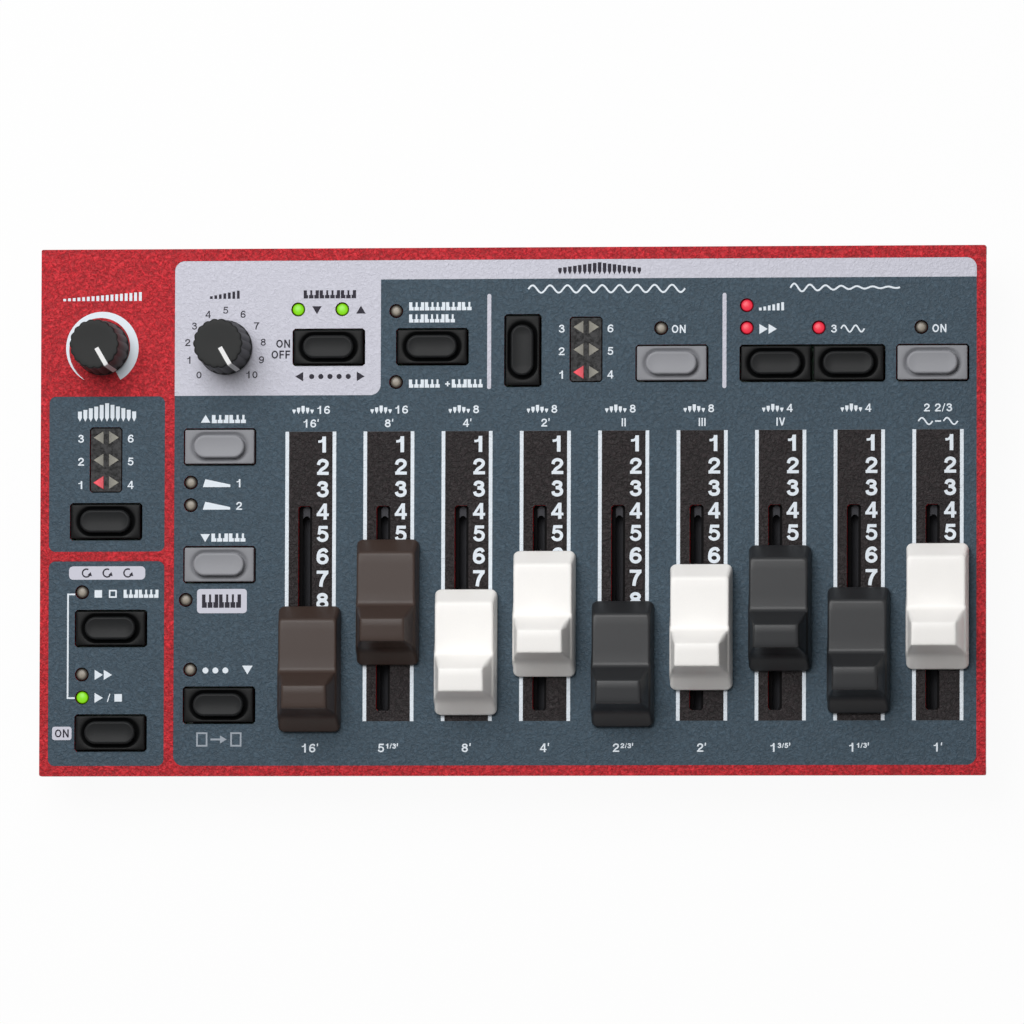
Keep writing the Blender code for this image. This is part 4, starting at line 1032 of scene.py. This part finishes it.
# Characters as strokes in a box of height 1, after the box's width
CHARACTERS = {
    "0": (0.76, (ring(0.38, 0.5, 0.275, 0.395),)),
    "1": (0.74, (line((0.44, 0.0), (0.44, 1.0), weight=1.1),
                 bend((0.06, 0.68), (0.24, 0.70), (0.36, 0.79), (0.41, 0.96), weight=0.75))),
    "2": (0.76, (bend((0.105, 0.62), (0.17, 0.81), (0.37, 0.90), (0.58, 0.83), (0.64, 0.67),
                      (0.53, 0.49), (0.28, 0.31), (0.13, 0.07)),
                 line((0.02, 0.095), (0.75, 0.095), weight=0.95))),
    "3": (0.76, (bend((0.12, 0.70), (0.20, 0.86), (0.37, 0.905), (0.56, 0.84), (0.59, 0.70),
                      (0.47, 0.575), (0.28, 0.55)),
                 bend((0.28, 0.55), (0.52, 0.51), (0.645, 0.35), (0.58, 0.17), (0.38, 0.095),
                      (0.17, 0.16), (0.10, 0.32)))),
    "4": (0.76, (line((0.54, 0.0), (0.54, 1.0)), line((0.0, 0.30), (0.76, 0.30), weight=0.85),
                 line((0.07, 0.30), (0.51, 0.96), weight=0.8))),
    "5": (0.76, (line((0.14, 0.905), (0.70, 0.905), weight=0.95),
                 line((0.215, 0.95), (0.15, 0.47), weight=0.8),
                 bend((0.13, 0.49), (0.25, 0.60), (0.43, 0.61), (0.61, 0.50), (0.65, 0.33),
                      (0.57, 0.16), (0.37, 0.095), (0.18, 0.16), (0.10, 0.30), weight=0.95))),
    "6": (0.76, SIX),
    "7": (0.76, (line((0.02, 0.905), (0.75, 0.905), weight=0.95),
                 bend((0.66, 0.88), (0.48, 0.66), (0.34, 0.35), (0.28, 0.0), weight=1.05))),
    "8": (0.76, (ring(0.38, 0.735, 0.235, 0.17), ring(0.38, 0.31, 0.275, 0.215))),
    "9": (0.76, NINE),
    "O": (0.84, (ring(0.42, 0.5, 0.32, 0.405),)),
    "N": (0.76, (line((0.1, 0.0), (0.1, 1.0)), line((0.66, 0.0), (0.66, 1.0)),
                 line((0.1, 0.96), (0.66, 0.04)))),
    "F": (0.60, (line((0.1, 0.0), (0.1, 1.0)), line((0.1, 0.905), (0.6, 0.905)),
                 line((0.1, 0.48), (0.54, 0.48)))),
    "I": (0.20, (line((0.1, 0.0), (0.1, 1.0)),)),
    "V": (0.74, (line((0.08, 1.0), (0.37, 0.04)), line((0.37, 0.04), (0.66, 1.0)))),
    "'": (0.16, (line((0.09, 1.04), (0.06, 0.70), weight=0.8),)),
    "/": (0.36, (line((0.02, 0.0), (0.34, 1.0), weight=0.7),)),
    "+": (0.66, (line((0.03, 0.45), (0.63, 0.45)), line((0.33, 0.15), (0.33, 0.75)))),
    " ": (0.30, ()),
}
# Room between two characters, and the size of raised ones
LETTER_GAP = 0.14
RAISED_SIZE = 0.56
# Numbers over and under the fader scales, left to right
OVER_SCALES = (
    ("16", "16'"), ("16", "8'"), ("8", "4'"), ("8", "2'"), ("8", "II"), ("8", "III"), ("4", "IV"), ("4", " "),
)
UNDER_SCALES = ("16'", "5^1/3^'", "8'", "4'", "2^2/3^'", "2'", "1^3/5^'", "1^1/3^'", "1'")


class Print:
    """Collects printed shapes, given in millimetres on the plate, into one thin film."""

    def __init__(self, film=0):
        self.shape = bmesh.new()
        self.low = PLATE_TOP - INK_SINK + film * INK_RISE
        self.top = PLATE_TOP + (film + 1) * INK_RISE
        self.made = 0

    def draw(self, signs):
        """Draws signs that are given by the name of a shape below and its values."""
        for shape, *values in signs:
            getattr(self, shape)(*values)

    def piece(self, name, material):
        bmesh.ops.recalc_face_normals(self.shape, faces=self.shape.faces)
        return from_bmesh(name, self.shape, material)

    @property
    def high(self):
        """The film's top, a hair higher or lower for each shape so that none share a surface."""
        return self.top + (self.made % 6) * 0.004 * MM

    def corners(self, points, height):
        return [self.shape.verts.new((x * MM, y * MM, height)) for x, y in points]

    def solid(self, points):
        """A flat shape inside an outline."""
        self.made += 1
        low, high = self.corners(points, self.low), self.corners(points, self.high)
        self.shape.faces.new(low[::-1])
        self.shape.faces.new(high)
        for index in range(len(points)):
            before = index - 1
            self.shape.faces.new((low[before], low[index], high[index], high[before]))

    def ribbon(self, path, width, closed=False):
        """A line of even width along a path, with mitred corners."""
        self.made += 1
        count, rows = len(path), []
        for index in range(count):
            here = Vector(path[index])
            ways = []
            if closed or index:
                ways.append((here - Vector(path[index - 1])).normalized())
            if closed or index < count - 1:
                ways.append((Vector(path[(index + 1) % count]) - here).normalized())
            normals = [Vector((-way.y, way.x)) for way in ways]
            middle = sum(normals, Vector((0.0, 0.0)))
            off = middle * (width / max(middle.dot(normals[0]), 0.5) / 2)
            sides = (here + off, here - off)
            rows.append((*self.corners(sides, self.low), *self.corners(sides, self.high)[::-1]))
        for index in range(count if closed else count - 1):
            row, following = rows[index], rows[(index + 1) % count]
            for side in range(4):
                turn = (side + 1) % 4
                self.shape.faces.new((row[side], row[turn], following[turn], following[side]))
        if not closed:
            self.shape.faces.new(rows[0])
            self.shape.faces.new(rows[-1][::-1])

    def bar(self, left, bottom, right, top):
        self.solid([(left, bottom), (right, bottom), (right, top), (left, top)])

    def text(self, words, x, y, align="CENTER", height=LETTER, weight=0.17):
        """Characters with their middle on y, small and raised between two ^ marks."""
        sizes, raised, spot = [], False, 0.0
        for mark in words:
            if mark == "^":
                raised = not raised
                continue
            size = RAISED_SIZE if raised else 1.0
            sizes.append((mark, size, spot))
            spot += (CHARACTERS[mark][0] + LETTER_GAP) * size
        wide = (spot - LETTER_GAP) * height
        start = {"CENTER": x - wide / 2, "LEFT": x, "RIGHT": x - wide}[align]
        for mark, size, place in sizes:
            lift, thin = (0.44, 0.75) if size < 1.0 else (0.0, 1.0)
            for path, closed, thick in CHARACTERS[mark][1]:
                placed = [
                    (start + (place + px * size) * height, y + (py * size + lift - 0.5) * height)
                    for px, py in path
                ]
                self.ribbon(placed, weight * thick * height * thin, closed)

    def choices(self, left, right, *heights):
        """The numbers 3 to 1 and 6 to 4 on both sides of a selector window, from its rear."""
        for row, height in enumerate(heights):
            self.text(str(3 - row), left, height, "RIGHT")
            self.text(str(6 - row), right, height, "LEFT")

    def triangle(self, x, y, size, degrees):
        """A pointer whose tip looks that way, counted from the right."""
        turn = Matrix.Rotation(math.radians(degrees), 2)
        tips = [turn @ (Vector(tip) * size) for tip in ((0.55, 0.0), (-0.45, 0.6), (-0.45, -0.6))]
        self.solid([(x + tip.x, y + tip.y) for tip in tips])

    def discs(self, x, y, radius, count, pitch):
        for index in range(count):
            self.solid(oval(x + pitch * index, y, radius, radius, 16))

    def steps(self, x, y, width, height=LETTER, pitch=1.1):
        """Bars that grow from left to right."""
        count = max(3, round(width / pitch))
        for index in range(count):
            left = x - width / 2 + index * width / count
            top = 0.22 + 0.78 * (index + 1) / count
            self.bar(left, y - height / 2, left + 0.6 * width / count, y - height / 2 + top * height)

    def keys(self, x, y, width, height=LETTER):
        """A short row of keys, with notches between them where the raised ones are."""
        count = max(5, round(width / 1.3))
        pitch, gap = width / count, 0.2
        bottom, middle, top = y - height / 2, y - 0.08 * height, y + height / 2
        for index in range(count):
            left = x - width / 2 + index * pitch
            right = left + pitch - gap
            cut_left = left + (0.24 * pitch if index % 7 not in (0, 3) else 0.0)
            cut_right = right - (0.24 * pitch if index % 7 not in (2, 6) else 0.0)
            self.solid([(left, bottom), (right, bottom), (right, middle), (cut_right, middle),
                        (cut_right, top), (cut_left, top), (cut_left, middle), (left, middle)])

    def pipes(self, x, y, width, height, count):
        """A row of pipes with pointed feet, highest in the middle."""
        pitch = width / count
        for index in range(count):
            left = x - width / 2 + (index + 0.14) * pitch
            right = left + 0.72 * pitch
            share = abs(2 * index / (count - 1) - 1)
            bottom, top = y - height / 2, y + height * (0.5 - 0.45 * share)
            foot = bottom + 0.7 * pitch
            self.solid([(left, foot), ((left + right) / 2, bottom), (right, foot), (right, top), (left, top)])

    def wave(self, x, y, width, height, turns, weight, fade=0.0):
        """A wave that may die away to the right."""
        count = 14 * turns
        path = []
        for step in range(count + 1):
            share = step / count
            swing = math.exp(-fade * share) * math.sin(2 * math.pi * turns * share)
            path.append((x + (share - 0.5) * width, y + (height - weight) / 2 * swing))
        self.ribbon(path, weight)

    def frame(self, x, y, width, height, weight):
        """The outline of a rectangle."""
        half_x, half_y = (width - weight) / 2, (height - weight) / 2
        corners = ((-1, -1), (1, -1), (1, 1), (-1, 1))
        self.ribbon([(x + side * half_x, y + end * half_y) for side, end in corners], weight, True)

    def field(self, left, bottom, right, top, radius):
        """A filled rectangle with rounded corners."""
        self.solid(rounded_outline((left, bottom), (right, top), radius, 5))

    def pedal(self, left, right, y):
        """A wedge that falls to the right."""
        self.solid([(left, y - 0.9), (right, y - 0.9), (right, y - 0.3), (left + 0.6, y + 1.0)])

    def turning(self, x, y, radius, weight):
        """A round arrow."""
        self.ribbon(oval(x, y, radius, radius, 18, 60.0, 285.0), weight)
        end = math.radians(345.0)
        self.triangle(x + radius * math.cos(end), y + radius * math.sin(end), 0.95 * radius, 75.0)

    def crescent(self, x, y, radius, thin, gain):
        """A band round a knob that is thin at first and wider towards the full level."""
        outer, inner = [], []
        for step in range(61):
            share = step / 60
            angle = math.radians(240.0 - 300.0 * share)
            for side, size in ((outer, radius), (inner, radius - thin - gain * share ** 0.75)):
                side.append((x + size * math.cos(angle), y + size * math.sin(angle)))
        self.solid(outer + inner[::-1])

    def dial(self, x, y, radius_x, radius_y, pitch):
        """The numbers 0 to 10 round a knob, that many degrees apart."""
        for number in range(11):
            angle = math.radians(pitch * (number - 5))
            place = (x + radius_x * math.sin(angle), y + radius_y * math.cos(angle))
            self.text(str(number), *place, "CENTER", 1.75, 0.15)

    def scale_titles(self, over, under):
        """What stands at both ends of the fader scales, with the over height at their rear."""
        for index, foot in enumerate(UNDER_SCALES):
            x = FIRST_SCALE_X + index * SCALE_PITCH
            self.text(foot, x, under, "CENTER", 2.1)
            if index < len(OVER_SCALES):
                number, rank = OVER_SCALES[index]
                self.pipes(x - 1.9, over, 5.4, LETTER, 5)
                self.text(number, x + 1.4, over, "LEFT")
                self.text(rank, x, over - 3.25)
            else:
                self.text("2 2/3", x, over)
                self.wave(x - 3.0, over - 3.25, 3.4, LETTER, 1, 0.36)
                self.bar(x - 0.7, over - 3.43, x + 0.7, over - 3.07)
                self.wave(x + 3.0, over - 3.25, 3.4, LETTER, 1, 0.36)


# Printed signs, each by the name of a shape that Print draws and its values in millimetres
LIGHT_SIGNS = (
    ("scale_titles", 24.4, -56.5), ("crescent", -98.6, 39.4, 8.76, 0.08, 2.35),
    ("steps", -98.4, 51.8, 19.4, 2.1, 1.15), ("pipes", -97.4, 24.0, 14.4, 4.4, 11),
    ("choices", -102.9, -92.4, 17.7, 12.2, 6.6),
    ("triangle", -73.6, 22.3, 1.9, 90.0), ("keys", -67.9, 22.3, 8.4),
    ("triangle", -73.6, -6.1, 1.9, -90.0), ("keys", -67.9, -6.1, 8.4),
    ("pedal", -74.2, -67.6, 6.9), ("text", "1", -66.2, 6.9, "LEFT"),
    ("pedal", -74.2, -67.6, 1.5), ("text", "2", -66.2, 1.5, "LEFT"),
    ("discs", -73.4, -37.9, 0.72, 3, 2.4), ("triangle", -63.3, -37.7, 2.1, -90.0),
    ("bar", -100.2, -20.4, -98.4, -18.6), ("frame", -95.8, -19.5, 1.9, 1.9, 0.36),
    ("keys", -88.9, -19.5, 8.6),
    ("triangle", -99.2, -38.9, 2.0, 0.0), ("triangle", -97.0, -38.9, 2.0, 0.0),
    ("triangle", -99.2, -44.4, 2.0, 0.0), ("text", "/", -96.7, -44.4), ("bar", -95.3, -45.3, -93.5, -43.5),
    ("ribbon", [(-104.9, -19.6), (-106.6, -19.6), (-106.6, -44.45), (-104.9, -44.45)], 0.4),
    ("keys", -17.1, 49.1, 15.2), ("keys", -19.1, 46.2, 11.2), ("keys", -20.9, 30.6, 7.6),
    ("text", "+", -15.4, 30.6), ("keys", -10.6, 30.6, 7.6),
    ("wave", 22.7, 53.1, 37.6, 2.2, 9, 0.42), ("wave", 79.8, 53.1, 26.2, 2.6, 7, 0.42, 2.0),
    ("choices", 12.7, 22.9, 43.6, 38.2, 32.6),
    ("text", "ON", 38.3, 43.4, "LEFT"), ("text", "ON", 100.6, 43.3, "LEFT"), ("steps", 62.4, 48.7, 6.4),
    ("triangle", 60.2, 43.3, 2.0, 0.0), ("triangle", 62.4, 43.3, 2.0, 0.0),
    ("text", "3", 76.4, 43.3, "LEFT"), ("wave", 81.6, 43.3, 5.6, LETTER, 2, 0.36),
)
DARK_SIGNS = (
    ("dial", -68.9, 39.4, 9.2, 9.0, 27.25), ("steps", -68.9, 52.1, 7.6), ("keys", -43.7, 52.1, 12.8),
    ("triangle", -46.9, 48.4, 1.9, -90.0), ("triangle", -36.3, 48.3, 1.9, 90.0),
    ("text", "ON", -53.3, 40.3, "RIGHT"), ("text", "OFF", -53.3, 37.7, "RIGHT"),
    ("triangle", -51.0, 32.4, 1.9, 180.0), ("discs", -48.1, 32.4, 0.62, 5, 2.2),
    ("triangle", -36.4, 32.4, 1.9, 0.0), ("pipes", 21.0, 58.0, 20.2, 2.9, 17),
)
# Light patches, and the dark signs on them
LIGHT_FIELDS = (
    ("field", -75.5, -24.2, -63.5, -18.4, 0.8), ("field", -106.4, -16.1, -88.0, -12.9, 1.0),
    ("field", -110.3, -54.5, -105.6, -51.3, 0.6),
)
FIELD_SIGNS = (
    ("keys", -69.5, -21.3, 9.6, 3.2), ("turning", -102.2, -14.5, 0.95, 0.34),
    ("turning", -97.2, -14.5, 0.95, 0.34), ("turning", -92.2, -14.5, 0.95, 0.34),
    ("text", "ON", -107.95, -52.9),
)
FAINT_SIGNS = (
    ("frame", -74.2, -54.4, 2.7, 3.4, 0.4), ("frame", -66.0, -54.4, 2.7, 3.4, 0.4),
    ("ribbon", [(-72.1, -54.4), (-69.4, -54.4)], 0.45), ("triangle", -69.1, -54.4, 1.6, 0.0),
)


class ORGAN_PANEL_OT_plate(bpy.types.Operator):
    """Paint and print the plate and finish what lies under it"""
    bl_idname = "organ_panel.plate"
    bl_label = "Plate and Inner Parts"

    def execute(self, context):
        faders = range(1, FADER_COUNT + 1)
        channels = [f"fader_{part}_{number}" for part in ("housing", "lever") for number in faders]
        groups = (
            (plate_paint(context.scene.organ_plate), ["front_panel"]),
            (tray_paint(), ["bottom_cover"]),
            (solder_resist(), ["circuit_board"]),
            (felt_cloth(), ["dust_sheet"]),
            (moulded_plastic("connector_plastic", srgb(208, 200, 176), 0.5), ["cable_connector"]),
            (smoked_plastic(), WINDOWS),
            # Painted shade: the fader housings and levers and the pot housings are near black, so that the
            # fader slots read dark.
            (brushed_metal("blackened_steel", (0.018, 0.018, 0.02), 1),
             channels + [name + "_pot_housing" for name in LEVELS]),
            (brushed_metal("shaft_steel", (0.60, 0.60, 0.60), 2), [name + "_shaft" for name in LEVELS]),
            (brushed_metal("screw_steel", (0.10, 0.10, 0.11), 0),
             [f"cover_screw_{number}" for number in range(1, SCREW_COUNT + 1)]),
        )
        for finish, nodes in groups:
            for node in nodes:
                finish_node(node, finish)
        return {"FINISHED"}


class ORGAN_PANEL_OT_legends(bpy.types.Operator):
    """Print the scales, numbers and signs on the plate"""
    bl_idname = "organ_panel.legends"
    bl_label = "Printed Scales and Signs"

    def execute(self, context):
        settings = context.scene.organ_plate
        white, dark = ink("white_ink", settings.white_ink), ink("dark_ink", settings.dark_ink)
        dim, pale = ink("dim_ink", settings.dim_ink), ink("pale_ink", settings.pale)
        made = [self.fader_numbers(white)]
        for name, finish, film, signs in (
            ("light_signs", white, 0, LIGHT_SIGNS), ("dark_signs", dark, 0, DARK_SIGNS),
            ("light_fields", pale, 0, LIGHT_FIELDS), ("light_field_signs", dark, 1, FIELD_SIGNS),
            ("faint_signs", dim, 0, FAINT_SIGNS),
        ):
            sheet = Print(film)
            sheet.draw(signs)
            made.append(sheet.piece(name, finish))
        for piece in made:
            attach(piece, CHASSIS)
        return {"FINISHED"}

    def fader_numbers(self, white):
        """The numbers 1 to 8 on every fader scale."""
        column = Print()
        for step in range(8):
            column.text(str(step + 1), 4.37, 16.1 - 5.35 * step, "RIGHT", 3.84, 0.205)
        blank = column.piece("number_column", None)
        spots = [((FIRST_SCALE_X + index * SCALE_PITCH) * MM, 0.0, 0.0) for index in range(FADER_COUNT)]
        numbers = on_points("fader_scale_numbers", spots, blank, repeat_tree(), white)
        bpy.data.objects.remove(blank, do_unlink=True)
        return numbers


# Soft lights, each with its power's setting, its place in metres, and its width and depth
SOFT_LIGHTS = (
    ("rear_softbox", "key", (-0.20, 0.36, 0.75), (0.6, 0.6)),
    ("top_softbox", "overhead", (-0.12, 0.23, 0.93), (0.5, 0.42)),
)
WHITE = (1.0, 1.0, 1.0, 1.0)
WARM_WHITE = (1.0, 0.98, 0.96, 1.0)
FLOOR_GREY = (0.86, 0.86, 0.86)
FLOOR_SIZE = 30.0
FLOOR_DROP = 0.05 * MM


class ORGAN_PANEL_OT_stage(bpy.types.Operator):
    """Set the floor, the soft lights and the camera"""
    bl_idname = "organ_panel.stage"
    bl_label = "Stage"

    def execute(self, context):
        scene, settings = context.scene, context.scene.organ_stage
        scene.view_settings.view_transform = "Standard"
        self.add_floor()
        self.add_world(scene, settings.sky)
        for name, power, place, size in SOFT_LIGHTS:
            self.add_light(scene, name, getattr(settings, power), Vector(place), size)
        self.add_camera(scene, settings)
        return {"FINISHED"}

    def add_floor(self):
        shape = bmesh.new()
        bmesh.ops.create_grid(shape, x_segments=1, y_segments=1, size=FLOOR_SIZE)
        bmesh.ops.translate(shape, verts=shape.verts, vec=(0.0, 0.0, -FLOOR_DROP))
        finish = Finish("pale_floor")
        tone = finish.brightened(FLOOR_GREY, 0.98 + 0.04 * finish.noise(40 * MM))
        matte = finish.node("ShaderNodeBsdfDiffuse", None, {"Color": tone})
        glow = finish.node("ShaderNodeEmission", None, {"Color": WHITE, "Strength": 1.0})
        mixed = finish.node("ShaderNodeMixShader", None, {0: finish.shown() * 0.95, 1: matte, 2: glow})
        finish.node("ShaderNodeOutputMaterial", None, {"Surface": mixed})
        from_bmesh("floor", shape, finish.material)

    def add_world(self, scene, sky):
        scene.world = bpy.data.worlds.new("pale_room")
        scene.world.use_nodes = True
        room = Nodes(scene.world.node_tree)
        lit, seen = (
            room.node("ShaderNodeBackground", None, {"Color": colour, "Strength": strength})
            for colour, strength in ((WARM_WHITE, sky), (WHITE, 1.0))
        )
        mixed = room.node("ShaderNodeMixShader", None, {0: room.shown(), 1: lit, 2: seen})
        room.node("ShaderNodeOutputWorld", None, {"Surface": mixed})

    def add_light(self, scene, name, power, place, size):
        data = bpy.data.lights.new(name, "AREA")
        data.energy = power
        data.shape = "RECTANGLE"
        data.size, data.size_y = size
        light = bpy.data.objects.new(name, data)
        scene.collection.objects.link(light)
        light.location = place
        towards = Vector((0.0, 0.0, PLATE_TOP)) - place
        light.rotation_euler = towards.to_track_quat("-Z", "Y").to_euler()

    def add_camera(self, scene, settings):
        data = bpy.data.cameras.new("camera")
        data.sensor_width = 36.0
        data.lens = data.sensor_width * settings.distance / settings.frame_width
        data.clip_start, data.clip_end = 0.1, 50.0
        camera = bpy.data.objects.new("camera", data)
        scene.collection.objects.link(camera)
        right, front = math.tan(settings.tilt_right), math.tan(settings.tilt_front)
        back = Vector((right, -front, 1.0)).normalized()
        side = Vector((0.0, 1.0, 0.0)).cross(back).normalized()
        turn = Matrix((side, back.cross(side), back)).transposed().to_4x4()
        aim = Vector((settings.aim_right, settings.aim_rear, PLATE_TOP))
        place = Matrix.Translation(aim + back * settings.distance)
        camera.matrix_world = place @ turn @ Matrix.Rotation(settings.roll, 4, "Z")
        scene.camera = camera


class ORGAN_PANEL_PT_sidebar(bpy.types.Panel):
    bl_label = "Organ Panel"
    bl_idname = "ORGAN_PANEL_PT_sidebar"
    bl_space_type = "VIEW_3D"
    bl_region_type = "UI"
    bl_category = "Organ Panel"

    def draw(self, context):
        for operator, name in STEPS:
            group = self.layout.box()
            settings = getattr(context.scene, name)
            for key in settings.__annotations__:
                group.prop(settings, key)
            group.operator(operator.bl_idname)


SETTINGS = {
    "organ_plate": PlateSettings, "organ_caps": CapSettings, "organ_buttons": ButtonSettings,
    "organ_knobs": KnobSettings, "organ_lamps": LampSettings, "organ_stage": StageSettings,
}
STEPS = (
    (ORGAN_PANEL_OT_plate, "organ_plate"), (ORGAN_PANEL_OT_legends, "organ_plate"),
    (ORGAN_PANEL_OT_caps, "organ_caps"), (ORGAN_PANEL_OT_buttons, "organ_buttons"),
    (ORGAN_PANEL_OT_knobs, "organ_knobs"), (ORGAN_PANEL_OT_lamps, "organ_lamps"),
    (ORGAN_PANEL_OT_stage, "organ_stage"),
)
CLASSES = (*SETTINGS.values(), *(operator for operator, _ in STEPS), ORGAN_PANEL_PT_sidebar)


def register():
    for item in CLASSES:
        bpy.utils.register_class(item)
    for name, group in SETTINGS.items():
        setattr(bpy.types.Scene, name, PointerProperty(type=group))


def unregister():
    for name in SETTINGS:
        delattr(bpy.types.Scene, name)
    for item in reversed(CLASSES):
        bpy.utils.unregister_class(item)


def main():
    register()
    bpy.ops.organ_panel.plate()
    bpy.ops.organ_panel.legends()
    bpy.ops.organ_panel.caps()
    bpy.ops.organ_panel.buttons()
    bpy.ops.organ_panel.knobs()
    bpy.ops.organ_panel.lamps()
    bpy.ops.organ_panel.stage()


if __name__ == "__main__":
    main()
